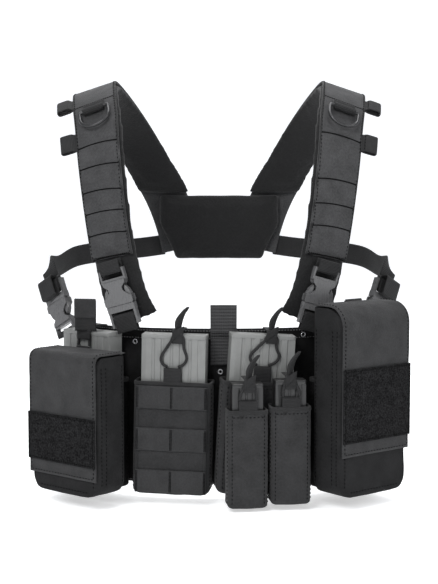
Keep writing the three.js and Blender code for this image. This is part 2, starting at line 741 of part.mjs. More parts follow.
// ---------------------------------------------------------------- flap pouches
function flapPouch(name, side) {
  const matrix = stackMatrix(side * outerStack);
  const shift = new THREE.Matrix4().makeTranslation(-side * flapShift, 0, 0);
  matrix.multiply(shift);
  const top = flapTops[name];
  const back = -pouchDepth - 2.4;
  stackFrames[`flap_${name}`] = matrix;
  const r = flapRounds[name];
  const body = pouch(flapPouchWidth, flapPouchDepth, flapWall, back, flapPouchBottom, top, 6);
  // the tall pouch has a rounded front top edge, as its flap has
  const front = back - flapPouchDepth;
  const corner = new THREE.Shape();
  corner.moveTo(front - 1, top + 1);
  corner.lineTo(front - 1, top - r);
  corner.lineTo(front, top - r);
  corner.absarc(front + r, top - r, r, Math.PI, Math.PI / 2, true);
  corner.lineTo(front + r, top + 1);
  corner.lineTo(front - 1, top + 1);
  const cornerTool = new THREE.ExtrudeGeometry(corner, {
    depth: flapPouchWidth + 10, bevelEnabled: false, curveSegments: 5,
  });
  // outline drawn in y and z, pulled along x
  cornerTool.applyMatrix4(new THREE.Matrix4().makeBasis(
    new THREE.Vector3(0, 1, 0), new THREE.Vector3(0, 0, 1), new THREE.Vector3(1, 0, 0),
  ));
  cornerTool.translate(-flapPouchWidth / 2 - 5, 0, 0);
  add(`flap_pouch_${name}`, cut(body, cornerTool), black, matrix);

  // the flap: over the top from the rear edge and down the front
  const c = 0.8;
  const th = flapThickness;
  const end = flapEnds[name];
  const flap = new THREE.Shape();
  flap.moveTo(back - 1.2, top + c);
  flap.lineTo(front + r, top + c);
  flap.absarc(front + r, top - r, r + c, Math.PI / 2, Math.PI, false);
  flap.lineTo(front - c, end);
  flap.lineTo(front - c - th, end);
  flap.lineTo(front - c - th, top - r);
  flap.absarc(front + r, top - r, r + c + th, Math.PI, Math.PI / 2, true);
  flap.lineTo(back - 1.2, top + c + th);
  const sheet = new THREE.ExtrudeGeometry(flap, {
    depth: flapPouchWidth, bevelEnabled: false, curveSegments: 6,
  });
  sheet.applyMatrix4(new THREE.Matrix4().makeBasis(
    new THREE.Vector3(0, 1, 0), new THREE.Vector3(0, 0, 1), new THREE.Vector3(1, 0, 0),
  ));
  sheet.translate(-flapPouchWidth / 2, 0, 0);
  const bandTop = bandTops[name];
  const band = block(
    -flapPouchWidth / 2 + 1, flapPouchWidth / 2 - 1, front - c - th - 1.6, front - c - th + 0.5,
    bandTop - bandHeights[name], bandTop,
  );
  add(`flap_${name}`, join(sheet, band), black, matrix);
  return { top, back };
}
const flapHinges = {
  right: flapPouch('right', -1),
  left: flapPouch('left', 1),
};

// ---------------------------------------------------------------- centre tab
// a doubled elastic strap standing above the panel's top edge, sewn down its face
const tabBack = -panelThickness - gap;
const tab = block(-tabWidth / 2, tabWidth / 2, tabBack - 2.4, tabBack, panelTop - 40, panelTop + tabRise, 2);
const tabShift = new THREE.Matrix4().makeTranslation(5, torsoAt(0).point.y - 0.3, 0);
add('center_tab', tab, webbing, tabShift);

// ---------------------------------------------------------------- side buckles and back straps
const sideFrames = {};
for (const [name, side] of [['right', -1], ['left', 1]]) {
  // the female half hangs on the panel's upper corner, the male half with the ladder is above it
  const origin = new THREE.Vector3(side * (torsoHalfWidth + 20), -45, panelTop + 13);
  const down = new THREE.Vector3(side * -0.3, -0.36, -0.88).normalize();
  const out = new THREE.Vector3(side * 0.66, -0.75, 0);
  out.addScaledVector(down, -out.dot(down)).normalize();
  const across = new THREE.Vector3().crossVectors(out.clone().negate(), down);
  const matrix = new THREE.Matrix4().makeBasis(across, out.clone().negate(), down).setPosition(origin);
  matrix.multiply(new THREE.Matrix4().makeTranslation(0, 0, -buckleMouth / 2));
  sideFrames[name] = matrix;
  const { low } = makeBuckle(`side_buckle_${name}`, matrix, false, sideStripLength);
  frameLoop(`side_loop_${name}_3`, matrix, 2);

  // back strap: from the buckle's ladder round the ribs to the yoke's lower corner
  const start = new THREE.Vector3(0, 0, low - gap).applyMatrix4(matrix);
  const next = new THREE.Vector3(0, 0, low - 14).applyMatrix4(matrix);
  const corner = torsoArc(side * yokeArc * 0.36, true).point;
  const points = [
    start.toArray(), next.toArray(), [side * (torsoHalfWidth + 29), 16, yokeTop - 85],
    [side * (torsoHalfWidth + 12), torsoHalfDepth - 54, yokeTop - 76],
    [side * (torsoHalfWidth - 28), torsoHalfDepth - 19, yokeTop - 71],
    [side * (torsoHalfWidth - 66), torsoHalfDepth - 2, yokeTop - 68], [corner.x + side * 16, corner.y + 16, yokeTop - 65],
  ];
  const outs = [
    out.toArray(), out.toArray(), [side, 0.05, 0], [side * 0.8, 0.6, 0],
    [side * 0.5, 0.87, 0], [side * 0.25, 0.97, 0], [side * 0.12, 0.99, 0],
  ];
  const back = new StrapPath(points, outs);
  const ribbon = block(
    -webbingWidth / 2, webbingWidth / 2, -webbingThickness / 2, webbingThickness / 2, 0, back.length, 1, 1, 26,
  );
  add(`back_strap_${name}`, back.bend(ribbon), webbing);
}

// where the moving pieces turn and slide, each in its own frame, for whoever articulates the model
const cordFace = magFront - gap - cordSize;
const pistolFace = pistolBack - flapWall - slide - 0.5 - pistolMagDepth - gap - cordSize;
const hinges = {
  retainer: cordFace,
  pistolRetainer: pistolFace,
  pistolFoot: pistolMagTop - 16,
  flapBack: flapHinges.right.back - 1.2,
  flapLift: 0.8 + flapThickness / 2,
  armX: 12,
  armZ: 1,
};
vest.userData.frames = { ringFrames, buckleFrames, stackFrames, sideFrames };
vest.userData.hinges = hinges;
vest.userData.flapTops = flapTops;

export default vest;
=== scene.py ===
"""A chest harness vest in black nylon: padded straps, a curved panel and a row of pouches.

Metres, +Z up, the wearer faces -Y. "right" and "left" are the wearer's own, right is -X.
"""
import bisect
import json
import math
from functools import lru_cache

import bmesh
import bpy
from mathutils import Matrix, Vector, noise
from mathutils.bvhtree import BVHTree

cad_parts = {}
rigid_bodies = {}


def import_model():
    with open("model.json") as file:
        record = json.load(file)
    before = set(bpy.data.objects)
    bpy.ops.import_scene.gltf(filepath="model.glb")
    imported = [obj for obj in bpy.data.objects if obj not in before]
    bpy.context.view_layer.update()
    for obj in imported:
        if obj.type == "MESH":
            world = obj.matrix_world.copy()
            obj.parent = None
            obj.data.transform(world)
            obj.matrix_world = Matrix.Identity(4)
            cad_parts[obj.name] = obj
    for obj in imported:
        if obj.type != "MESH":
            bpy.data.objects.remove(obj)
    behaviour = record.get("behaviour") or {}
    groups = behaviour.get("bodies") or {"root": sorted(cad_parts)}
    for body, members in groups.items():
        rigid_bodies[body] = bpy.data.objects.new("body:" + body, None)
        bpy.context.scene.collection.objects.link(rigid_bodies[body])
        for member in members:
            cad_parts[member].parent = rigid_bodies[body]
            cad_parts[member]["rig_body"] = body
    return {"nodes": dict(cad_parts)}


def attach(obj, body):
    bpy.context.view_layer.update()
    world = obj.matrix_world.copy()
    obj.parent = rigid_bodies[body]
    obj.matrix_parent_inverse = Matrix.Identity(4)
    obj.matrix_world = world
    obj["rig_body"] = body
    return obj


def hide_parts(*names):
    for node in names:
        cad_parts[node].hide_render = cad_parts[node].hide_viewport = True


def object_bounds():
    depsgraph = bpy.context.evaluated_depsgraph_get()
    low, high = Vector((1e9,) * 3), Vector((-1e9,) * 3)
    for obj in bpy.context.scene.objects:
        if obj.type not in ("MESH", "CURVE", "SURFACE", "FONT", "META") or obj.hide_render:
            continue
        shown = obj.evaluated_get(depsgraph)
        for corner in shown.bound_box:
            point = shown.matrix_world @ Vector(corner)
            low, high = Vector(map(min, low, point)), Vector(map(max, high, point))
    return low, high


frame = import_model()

cad_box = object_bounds()
nodes = frame["nodes"]
mm = 0.001

# the wearer's chest, on which the panel lies
torso_half_width = 162 * mm
torso_half_depth = 112 * mm
torso_roundness = 2.3
gap = 0.4 * mm
webbing_width = 25 * mm
webbing_thickness = 1.6 * mm

panel_top = -268 * mm
panel_height = 174 * mm
panel_thickness = 6 * mm
panel_arc = 366 * mm

pad_thickness = 11 * mm
cover_width = 52 * mm
cover_thickness = 2.6 * mm
cell_bulge = 1.6 * mm
seam_bow = 2.2 * mm
cover_end_height = -190 * mm
yoke_top = -122 * mm
yoke_arc = 150 * mm

ring_width = 38 * mm
ring_height = 30 * mm
ring_bar = 4 * mm
ring_height_on_strap = -38 * mm
keeper_height = 12 * mm
loop_heights = [-24 * mm, -63 * mm]
loop_reach = 17 * mm
loop_width = 21 * mm
loop_thickness = 7.6 * mm

buckle_thickness = 10 * mm
buckle_mouth = 22 * mm
neck_height = 5 * mm
frame_height = 13 * mm
male_block = 7 * mm
rail_length = 17 * mm
buckle_clear = 0.4 * mm
shoulder_buckle_height = -229 * mm
strip_length = 7 * mm
side_strip_length = 5 * mm
tail_length = 25 * mm
layer = 1.4 * mm

mag_width = 70 * mm
mag_depth = 23 * mm
mag_top = -272 * mm
pouch_width = 84 * mm
pouch_depth = 32.6 * mm
pouch_mouth = -323 * mm
pouch_bottom = -447 * mm
mag_back = -4.8 * mm
inner_stack = 44.5 * mm
outer_stack = 127 * mm
tongue_width = 19 * mm
cord_size = 3.2 * mm
retainer_clear = 5 * mm
hinge_clear = 1.2 * mm

row_width = 78 * mm
row_pitch = 46 * mm
row_top = pouch_mouth - 4 * mm

pistol_width = 43 * mm
pistol_depth = 26.8 * mm
pistol_wall = 2.4 * mm
pistol_mag_depth = 19 * mm
pistol_mag_top = -319 * mm
pistol_mouth = -347 * mm
pistol_bottom = -453 * mm
pistol_spacing = 46.5 * mm

flap_width = 101 * mm
flap_pouch_depth = 45 * mm
flap_thickness = 2.4 * mm
flap_shift = 18 * mm
flap_pouch_bottom = -444 * mm
flap_tops = {"right": -292 * mm, "left": -240 * mm}
flap_ends = {"right": -424 * mm, "left": -398 * mm}
band_tops = {"right": -357 * mm, "left": -304 * mm}
band_heights = {"right": 52 * mm, "left": 79 * mm}
flap_rounds = {"right": 7 * mm, "left": 20 * mm}

tab_width = 29 * mm
tab_rise = 27 * mm

sides = {"right": -1, "left": 1}

camera_lens = 81.37
camera_sensor = 36
camera_place = (0, -1.56, -0.105)
camera_tilt = 85.15
stage_half = 30
stage_bend = 6.0
stage_forward = 1.5
stage_below = 4 * mm

stitch_pitch = 4.2 * mm
stitch_lift = 0.25 * mm
stitch_length = 2.7 * mm
stitch_thickness = 1.1 * mm
# the quilting seams are thick black rods: real thread, widened into painted shade along each seam's
# valley
seam_thread_and_shadow_radius = 0.75 * mm
cell_valley = 0.7 * mm
pad_voxel = 3.2 * mm
pad_passes = 5


# ------------------------------------------------------------------ camera, lights and stage
def set_camera():
    camera = bpy.data.cameras.new("camera")
    camera.lens = camera_lens
    camera.sensor_width = camera_sensor
    holder = bpy.data.objects.new("camera", camera)
    holder.location = camera_place
    holder.rotation_euler = (math.radians(camera_tilt), 0, 0)
    bpy.context.scene.collection.objects.link(holder)
    bpy.context.scene.camera = holder
    bpy.context.scene.view_settings.view_transform = "Standard"


def set_lights():
    for name, place, size, power, aim in (
        ("key softbox", (-0.7, -1.5, 0.9), 0.8, 26, (0, 0, -0.25)),
        ("side softbox", (1.5, -0.9, 0.5), 0.7, 11, (0, 0, -0.25)),
        ("top softbox", (0.1, 0.1, 1.2), 0.9, 18, (0, 0, -0.2)),
        ("back softbox", (-0.4, 1.4, 0.7), 1.2, 10, (0, 0, -0.2)),
    ):
        light = bpy.data.lights.new(name, "AREA")
        light.size = size
        light.energy = power
        holder = bpy.data.objects.new(name, light)
        holder.location = place
        holder.rotation_euler = (Vector(aim) - Vector(place)).to_track_quat("-Z", "Y").to_euler()
        bpy.context.scene.collection.objects.link(holder)
    world = bpy.data.worlds.new("studio")
    world.use_nodes = True
    world.node_tree.nodes["Background"].inputs["Color"].default_value = (0.93, 0.95, 1.0, 1)
    world.node_tree.nodes["Background"].inputs["Strength"].default_value = 0.5
    bpy.context.scene.world = world


def verts_of(geom):
    return [v for v in geom if isinstance(v, bmesh.types.BMVert)]


def set_stage():
    """A pale floor that curves up into a wall behind the vest."""
    bm = bmesh.new()
    bmesh.ops.create_grid(bm, x_segments=2, y_segments=2, size=stage_half)
    back = [e for e in bm.edges if all(v.co.y > stage_half - 0.1 for v in e.verts)]
    raised = bmesh.ops.extrude_edge_only(bm, edges=back)
    bmesh.ops.translate(bm, vec=(0, 0, stage_half), verts=verts_of(raised["geom"]))
    crease = [e for e in back if e.is_valid and all(v.co.z < 0.1 for v in e.verts)]
    bmesh.ops.bevel(
        bm, geom=crease, offset=stage_bend, segments=12, profile=0.5, affect="EDGES", material=-1
    )
    bmesh.ops.translate(bm, vec=(0, -stage_forward, cad_box[0].z - stage_below), verts=bm.verts)
    mesh = bpy.data.meshes.new("stage")
    bm.to_mesh(mesh)
    bm.free()
    for face in mesh.polygons:
        face.use_smooth = True
    stage = bpy.data.objects.new("stage", mesh)
    bpy.context.scene.collection.objects.link(stage)
    paper = bpy.data.materials.new("paper backdrop")
    paper.use_nodes = True
    shader = paper.node_tree.nodes["Principled BSDF"]
    shader.inputs["Base Color"].default_value = (0.88, 0.89, 0.9, 1)
    shader.inputs["Roughness"].default_value = 0.9
    shader.inputs["Emission Color"].default_value = (1, 1, 1, 1)
    shader.inputs["Emission Strength"].default_value = 0.5
    mesh.materials.append(paper)


# ------------------------------------------------------------------ finishes
class Finish:
    """A material being made, with short ways to add and join its nodes."""

    def __init__(self, name, roughness, metallic=0.0, sheen=0.0, specular=0.5):
        self.material = bpy.data.materials.new(name)
        self.material.use_nodes = True
        self.tree = self.material.node_tree
        self.shader = self.tree.nodes["Principled BSDF"]
        self.shader.inputs["Roughness"].default_value = roughness
        self.shader.inputs["Metallic"].default_value = metallic
        self.shader.inputs["Sheen Weight"].default_value = sheen
        self.shader.inputs["Sheen Roughness"].default_value = 0.5
        self.shader.inputs["Specular IOR Level"].default_value = specular

    def node(self, kind, settings=None, **inputs):
        made = self.tree.nodes.new("ShaderNode" + kind)
        for key, value in (settings or {}).items():
            setattr(made, key, value)
        for key, value in inputs.items():
            place = int(key[1:]) if key[1:].isdigit() else key.replace("_", " ")
            socket = made.inputs[place]
            if isinstance(value, bpy.types.NodeSocket):
                self.tree.links.new(value, socket)
            else:
                socket.default_value = value
        return made

    def coords(self, kind):
        return self.node("TexCoord").outputs[kind]

    def bands(self, coords, pitch, direction, distortion=0.0):
        """Ridges a pitch apart, 0 to 1."""
        return self.node(
            "TexWave", {"bands_direction": direction}, Vector=coords,
            Scale=0.314159 / pitch, Distortion=distortion, Detail=2.0, Detail_Scale=1.5,
        ).outputs["Fac"]

    def speckle(self, coords, size, detail=3.0):
        return self.node(
            "TexNoise", None, Vector=coords, Scale=1 / size, Detail=detail, Roughness=0.6
        ).outputs["Fac"]

    def maths(self, operation, a, b=0.0, clamp=False):
        return self.node(
            "Math", {"operation": operation, "use_clamp": clamp}, _0=a, _1=b
        ).outputs[0]

    def blend(self, amount, dark, light):
        return self.node(
            "Mix", {"data_type": "RGBA"}, _0=amount, _6=(*dark, 1), _7=(*light, 1)
        ).outputs[2]

    def between(self, value, low, high):
        """Stretches a value, 0 to 1, over a new span."""
        return self.node("MapRange", None, Value=value, To_Min=low, To_Max=high).outputs[0]

    def spread(self, value, low=0.38, high=0.62):
        """Pulls a noise's middle values apart, so that it runs from 0 to 1."""
        return self.node("MapRange", None, Value=value, From_Min=low, From_Max=high).outputs[0]

    def colour(self, socket):
        self.tree.links.new(socket, self.shader.inputs["Base Color"])

    def rough(self, socket):
        self.tree.links.new(socket, self.shader.inputs["Roughness"])

    def raise_by(self, height, distance):
        bump = self.node("Bump", None, Strength=1.0, Distance=distance, Height=height)
        self.tree.links.new(bump.outputs[0], self.shader.inputs["Normal"])


def tone(level, tint=(1.0, 1.0, 1.03)):
    return tuple(level * t for t in tint)


def woven(name, level, sheen=0.05, specular=0.2):
    """Plain-woven nylon: crossing threads, a slubby yarn, a mottle and soft creases."""
    pitch, contrast, depth, rough = 0.95 * mm, 0.6, 0.16 * mm, 0.85
    cloth = Finish(name, rough, sheen=sheen, specular=specular)
    uv = cloth.coords("UV")
    across = cloth.bands(uv, pitch * 2, "X", 0.6)
    along = cloth.bands(uv, pitch * 2, "Y", 0.6)
    weave = cloth.maths("ABSOLUTE", cloth.maths("SUBTRACT", across, along))
    slub = cloth.spread(cloth.speckle(uv, 2.2 * mm, 4.0), 0.34, 0.66)
    mottle = cloth.spread(cloth.speckle(cloth.coords("Object"), 17 * mm, 5.0), 0.34, 0.66)
    folds = cloth.speckle(cloth.coords("Object"), 30 * mm, 1.0)
    amount = cloth.maths("MULTIPLY", weave, 0.25)
    amount = cloth.maths("ADD", amount, cloth.maths("MULTIPLY", slub, 0.45))
    amount = cloth.maths("ADD", amount, cloth.maths("MULTIPLY", mottle, 0.3), True)
    cloth.colour(cloth.blend(amount, tone(level * (1 - contrast)), tone(level * (1 + contrast))))
    cloth.rough(cloth.between(slub, rough - 0.12, rough + 0.08))
    grain = cloth.maths("ADD", weave, slub)
    cloth.raise_by(cloth.maths("ADD", grain, cloth.maths("MULTIPLY", folds, 26.0)), depth)
    return cloth.material


def ribbed(name, level, pitch=1.5 * mm, direction="Y", contrast=0.6, depth=0.3 * mm, sheen=0.05):
    """Webbing or elastic: ribs straight across, with finer yarn along each rib."""
    strap = Finish(name, 0.78, sheen=sheen, specular=0.22)
    uv = strap.coords("UV")
    other = "X" if direction == "Y" else "Y"
    rib = strap.bands(uv, pitch, direction, 0.25)
    yarn = strap.bands(uv, pitch * 0.55, other, 1.2)
    slub = strap.spread(strap.speckle(uv, 2.0 * mm, 4.0), 0.34, 0.66)
    mottle = strap.spread(strap.speckle(strap.coords("Object"), 16 * mm, 4.0), 0.34, 0.66)
    height = strap.maths("ADD", rib, strap.maths("MULTIPLY", yarn, 0.35))
    amount = strap.maths("MULTIPLY", height, 0.34)
    amount = strap.maths("ADD", amount, strap.maths("MULTIPLY", slub, 0.28))
    amount = strap.maths("ADD", amount, strap.maths("MULTIPLY", mottle, 0.22), True)
    strap.colour(strap.blend(amount, tone(level * (1 - contrast)), tone(level * (1 + contrast))))
    strap.rough(strap.between(rib, 0.86, 0.66))
    strap.raise_by(height, depth)
    return strap.material


def mesh_lining(name, level):
    """Spacer mesh on the pads: small open cells in a soft knit."""
    knit = Finish(name, 0.95, sheen=0.08, specular=0.2)
    place = knit.coords("Object")
    cells = knit.node("TexVoronoi", None, Vector=place, Scale=1 / (2.3 * mm)).outputs["Distance"]
    fluff = knit.speckle(place, 0.9 * mm)
    mottle = knit.speckle(place, 30 * mm)
    amount = knit.maths("MULTIPLY", cells, 0.5)
    amount = knit.maths("ADD", amount, knit.maths("MULTIPLY", mottle, 0.4), True)
    knit.colour(knit.blend(amount, tone(level * 0.5), tone(level * 1.5)))
    knit.raise_by(knit.maths("ADD", cells, knit.maths("MULTIPLY", fluff, 0.5)), 0.35 * mm)
    return knit.material


def loop_pile(name, level):
    """Hook-and-loop pile: a dull, tufted, slightly streaky nap."""
    pile = Finish(name, 0.98, sheen=0.0, specular=0.03)
    place = pile.coords("Object")
    tufts = pile.spread(pile.speckle(place, 1.8 * mm, 4.0), 0.36, 0.64)
    clumps = pile.node("TexVoronoi", None, Vector=place, Scale=1 / (2.6 * mm)).outputs["Distance"]
    streaks = pile.spread(pile.speckle(place, 8 * mm, 3.0))
    amount = pile.maths("MULTIPLY", tufts, 0.8)
    amount = pile.maths("ADD", amount, pile.maths("MULTIPLY", streaks, 0.2), True)
    pile.colour(pile.blend(amount, tone(level * 0.15), tone(level * 2.4)))
    pile.raise_by(pile.maths("ADD", tufts, clumps), 0.4 * mm)
    return pile.material


def braid(name, level):
    """Elastic cord in a braided sleeve."""
    cord = Finish(name, 0.7, sheen=0.02, specular=0.25)
    place = cord.coords("Object")
    one = cord.bands(place, 1.5 * mm, "DIAGONAL")
    other = cord.node("Mapping", None, Vector=place, Scale=(-1, 1, 1)).outputs[0]
    two = cord.bands(other, 1.5 * mm, "DIAGONAL")
    height = cord.maths("MAXIMUM", one, two)
    cord.colour(cord.blend(height, tone(level * 0.45), tone(level * 1.3)))
    cord.raise_by(height, 0.2 * mm)
    return cord.material


def moulded(name, level, rough, grain=0.5 * mm, tint=(1.0, 1.0, 1.02), depth=0.05 * mm):
    """Moulded plastic: a fine spark-eroded grain, with rubbed and scuffed patches."""
    shell = Finish(name, rough, specular=0.5)
    place = shell.coords("Object")
    fine = shell.speckle(place, grain, 4.0)
    scuffs = shell.speckle(place, 9 * mm, 6.0)
    scratch = shell.node("Mapping", None, Vector=place, Scale=(1, 1, 0.08)).outputs[0]
    lines = shell.speckle(scratch, 1.1 * mm, 4.0)
    amount = shell.maths("MULTIPLY", scuffs, 0.6)
    amount = shell.maths("ADD", amount, shell.maths("MULTIPLY", lines, 0.4))
    dark, light = tone(level * 0.72, tint), tone(level * 1.28, tint)
    shell.colour(shell.blend(amount, dark, light))
    shell.rough(shell.between(amount, rough - 0.12, rough + 0.14))
    shell.raise_by(shell.maths("ADD", fine, shell.maths("MULTIPLY", lines, 0.4)), depth)
    return shell.material


def blackened(name, level, rough):
    """Blackened steel, rubbed a little brighter in places."""
    steel = Finish(name, rough, metallic=0.75, specular=0.5)
    place = steel.coords("Object")
    rubbed = steel.speckle(place, 5 * mm, 6.0)
    pits = steel.speckle(place, 0.7 * mm, 3.0)
    steel.colour(steel.blend(rubbed, tone(level * 0.4), tone(level * 1.9)))
    steel.rough(steel.between(rubbed, rough + 0.12, rough - 0.1))
    steel.raise_by(pits, 0.05 * mm)
    return steel.material


def spun(name, dark, light, rough, **more):
    """Sewing thread, a little uneven along its length."""
    yarn = Finish(name, rough, **more)
    yarn.colour(yarn.blend(yarn.speckle(yarn.coords("Object"), 1.5 * mm), tone(dark), tone(light)))
    return yarn.material


pouch_cloth = woven("pouch nylon", 0.021)
# a darker copy of the pouch nylon for the two outer magazine pouches: painted shade
outer_pouch_shaded_cloth = woven("outer pouch nylon darkened for painted shade", 0.0065, sheen=0.0, specular=0.08)
cover_cloth = woven("strap cover nylon", 0.036)
flap_cloth = woven("flap nylon", 0.023)
# a darker copy of the nylon for the flap pouches: painted shade on their sides and lower fronts
shaded_cloth = woven("flap pouch nylon darkened for painted shade", 0.012, sheen=0.0, specular=0.12)
panel_cloth = woven("panel nylon", 0.008, sheen=0.0, specular=0.1)
hem_cloth = ribbed("binding tape", 0.017, 1.1 * mm)
webbing = ribbed("flat webbing", 0.014, sheen=0.02)
row_webbing = ribbed("row webbing", 0.027, 1.25 * mm)
elastic_tape = ribbed("elastic tape", 0.032, 3.6 * mm, "Y", 0.5, 0.5 * mm)
lining = mesh_lining("spacer mesh", 0.010)
pile = loop_pile("loop pile", 0.009)
shock_cord = braid("shock cord", 0.011)
thread = spun("sewing thread", 0.0015, 0.006, 0.8, specular=0.06)
pale_thread = spun("worn thread", 0.05, 0.13, 0.6, sheen=0.1)
buckle_plastic = moulded("buckle plastic", 0.075, 0.27)
magazine_grey = moulded("grey polymer", 0.155, 0.5, 0.8 * mm, (0.98, 1.0, 0.97), 0.08 * mm)
magazine_black = moulded("black polymer", 0.012, 0.38)
ring_steel = blackened("ring steel", 0.035, 0.36)
eyelet_steel = blackened("eyelet steel", 0.4, 0.25)


# ------------------------------------------------------------------ the chest and the straps' routes
def torso_at(x, back=False):
    """The point of the chest's outline at x, and the way out of the chest there."""
    n = torso_roundness
    share = min(abs(x) / torso_half_width, 0.9999)
    y = torso_half_depth * (1 - share**n) ** (1 / n)
    slope = math.copysign(abs(x) ** (n - 1), x) / torso_half_width**n
    depth = y ** (n - 1) / torso_half_depth**n
    turn = 1 if back else -1
    return Vector((x, turn * y, 0)), Vector((slope, turn * depth, 0)).normalized()


arc_steps = [i * 0.25 * mm for i in range(int((torso_half_width - 0.5 * mm) / (0.25 * mm)))]
arc_lengths = [0.0]
for here, ahead in zip(arc_steps, arc_steps[1:]):
    arc_lengths.append(arc_lengths[-1] + (torso_at(ahead)[0] - torso_at(here)[0]).length)


def torso_arc(arc, back=False):
    """The same, at an arc length from the middle."""
    k = min(bisect.bisect_left(arc_lengths, abs(arc)), len(arc_steps) - 1)
    before = max(k - 1, 0)
    span = arc_lengths[k] - arc_lengths[before]
    share = (abs(arc) - arc_lengths[before]) / span if span else 0
    x = arc_steps[before] + (arc_steps[k] - arc_steps[before]) * min(share, 1)
    return torso_at(math.copysign(x, arc), back)


class Route:
    """The middle line of a strap's inner face, and the way out of it along its length."""

    steps = 400

    def __init__(self, points, outs):
        self.points = [Vector(p) for p in points]
        self.outs = [Vector(o).normalized() for o in outs]
        self.lengths = [0.0]
        for i in range(self.steps):
            step = self.point((i + 1) / self.steps) - self.point(i / self.steps)
            self.lengths.append(self.lengths[-1] + step.length)
        self.length = self.lengths[-1]
        self.at = lru_cache(maxsize=None)(self.find)

    def point(self, t):
        p = self.points
        place = min(max(t, 0), 1) * (len(p) - 1)
        k = min(int(place), len(p) - 2)
        w = place - k
        b, c = p[k], p[k + 1]
        a = p[k - 1] if k else 2 * b - c
        d = p[k + 2] if k + 2 < len(p) else 2 * c - b
        ab, bc, cd = (b - a).length ** 0.5, (c - b).length ** 0.5, (d - c).length ** 0.5
        m = ((b - a) / ab - (c - a) / (ab + bc) + (c - b) / bc) * bc
        n = ((c - b) / bc - (d - b) / (bc + cd) + (d - c) / cd) * bc
        return b + m * w + (3 * (c - b) - 2 * m - n) * w**2 + (2 * (b - c) + m + n) * w**3

    def find(self, s):
        """The point, the way along, the way out and the way across at a length."""
        s = min(max(s, 0), self.length)
        k = min(max(bisect.bisect_left(self.lengths, s), 1), self.steps)
        share = (s - self.lengths[k - 1]) / (self.lengths[k] - self.lengths[k - 1])
        t = (k - 1 + share) / self.steps
        along = (self.point(t + 0.0005) - self.point(t - 0.0005)).normalized()
        place = t * (len(self.outs) - 1)
        i = min(int(place), len(self.outs) - 2)
        out = self.outs[i].lerp(self.outs[i + 1], place - i)
        out = (out - along * out.dot(along)).normalized()
        return self.point(t), along, out, (-out).cross(along)

    def length_at(self, z, from_end=False):
        for i in range(1001):
            s = (1 - i / 1000 if from_end else i / 1000) * self.length
            if self.at(s)[0].z >= z:
                return s
        return self.length

    def matrix(self, s, lift=0.0):
        origin, along, out, across = self.at(s)
        made = Matrix((across, -out, along)).transposed().to_4x4()
        made.translation = origin + out * lift
        return made


def strap_route(side):
    points = [
        (90, -99.5, -262), (101, -98.5, -235), (112, -97, -190), (120, -95, -142),
        (127, -89, -88), (132, -72, -50), (138, -40, -22), (140, 0, -11),
        (127, 46, -26), (106, 80, -56), (84, 99.5, -92), (64, 107, -128),
        (52, 108.9, -162), (44, 109.8, -196),
    ]
    outs = [
        (0.32, -0.94, 0), (0.36, -0.93, 0), (0.42, -0.9, 0.02), (0.42, -0.9, 0.08),
        (0.38, -0.86, 0.3), (0.34, -0.62, 0.66), (0.32, -0.2, 0.92), (0.3, 0.12, 0.95),
        (0.26, 0.5, 0.8), (0.24, 0.78, 0.56), (0.22, 0.92, 0.3), (0.2, 0.97, 0.05),
        (0.15, 0.98, 0), (0.12, 0.99, 0),
    ]
    return Route(
        [(side * x * mm, y * mm, z * mm) for x, y, z in points],
        [(side * x, y, z) for x, y, z in outs],
    )


def stack_frame(x, lean=0.0):
    """The frame of a stack of pouches: origin on the panel's face, -y outwards."""
    point, normal = torso_at(x)
    origin = point + normal * (panel_thickness + gap)
    yaw = math.atan2(normal.x, -normal.y)
    tilt = (
        Matrix.Translation((0, 0, panel_top))
        @ Matrix.Rotation(lean, 4, "Y")
        @ Matrix.Translation((0, 0, -panel_top))
    )
    return Matrix.Translation((origin.x, origin.y, 0)) @ Matrix.Rotation(yaw, 4, "Z") @ tilt


# ------------------------------------------------------------------ making pieces
def show(name, mesh, material, body, slot, replaced=()):
    """Puts a finished mesh in the scene, on its body and in place of its frame nodes."""
    if not mesh.materials:
        mesh.materials.append(material)
    for face in mesh.polygons:
        face.use_smooth = True
    piece = bpy.data.objects.new(name, mesh)
    bpy.context.scene.collection.objects.link(piece)
    if replaced:
        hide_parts(*replaced)
    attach(piece, body)
    return piece


def to_mesh(bm, name):
    bmesh.ops.recalc_face_normals(bm, faces=bm.faces)
    mesh = bpy.data.meshes.new(name)
    bm.to_mesh(mesh)
    bm.free()
    return mesh


def rounding(distance, radius):
    """How much of its thickness a cloth has at a distance from its edge."""
    share = min(max(distance / radius, 0), 1)
    return max(math.sqrt(1 - (1 - share) ** 2), 0.3)


def rumple(point, size, amount):
    """A small soft unevenness, the same each time."""
    return (noise.noise(point / size) + 0.5 * noise.noise(point * 2.3 / size)) * amount


def cloth(place, columns, rows, width, length):
    """A closed sheet. place(u, v, side) is its point for u across and v along, under and over."""
    bm = bmesh.new()
    uv = bm.loops.layers.uv.new("UVMap")
    bmesh.ops.create_grid(bm, x_segments=columns, y_segments=rows, size=0.5)
    grown = bmesh.ops.extrude_face_region(bm, geom=bm.faces[:])
    bmesh.ops.translate(bm, vec=(0, 0, 1), verts=verts_of(grown["geom"]))
    where = {}
    for vert in bm.verts:
        u = 0.5 - 0.5 * math.cos(math.pi * min(max(vert.co.x + 0.5, 0), 1))
        v = min(max(vert.co.y + 0.5, 0), 1)
        where[vert] = (u, v, round(vert.co.z))
    for face in bm.faces:
        for loop in face.loops:
            u, v, side = where[loop.vert]
            loop[uv].uv = (u * width, v * length)
    for vert, (u, v, side) in where.items():
        vert.co = place(u, v, side)
    return bm


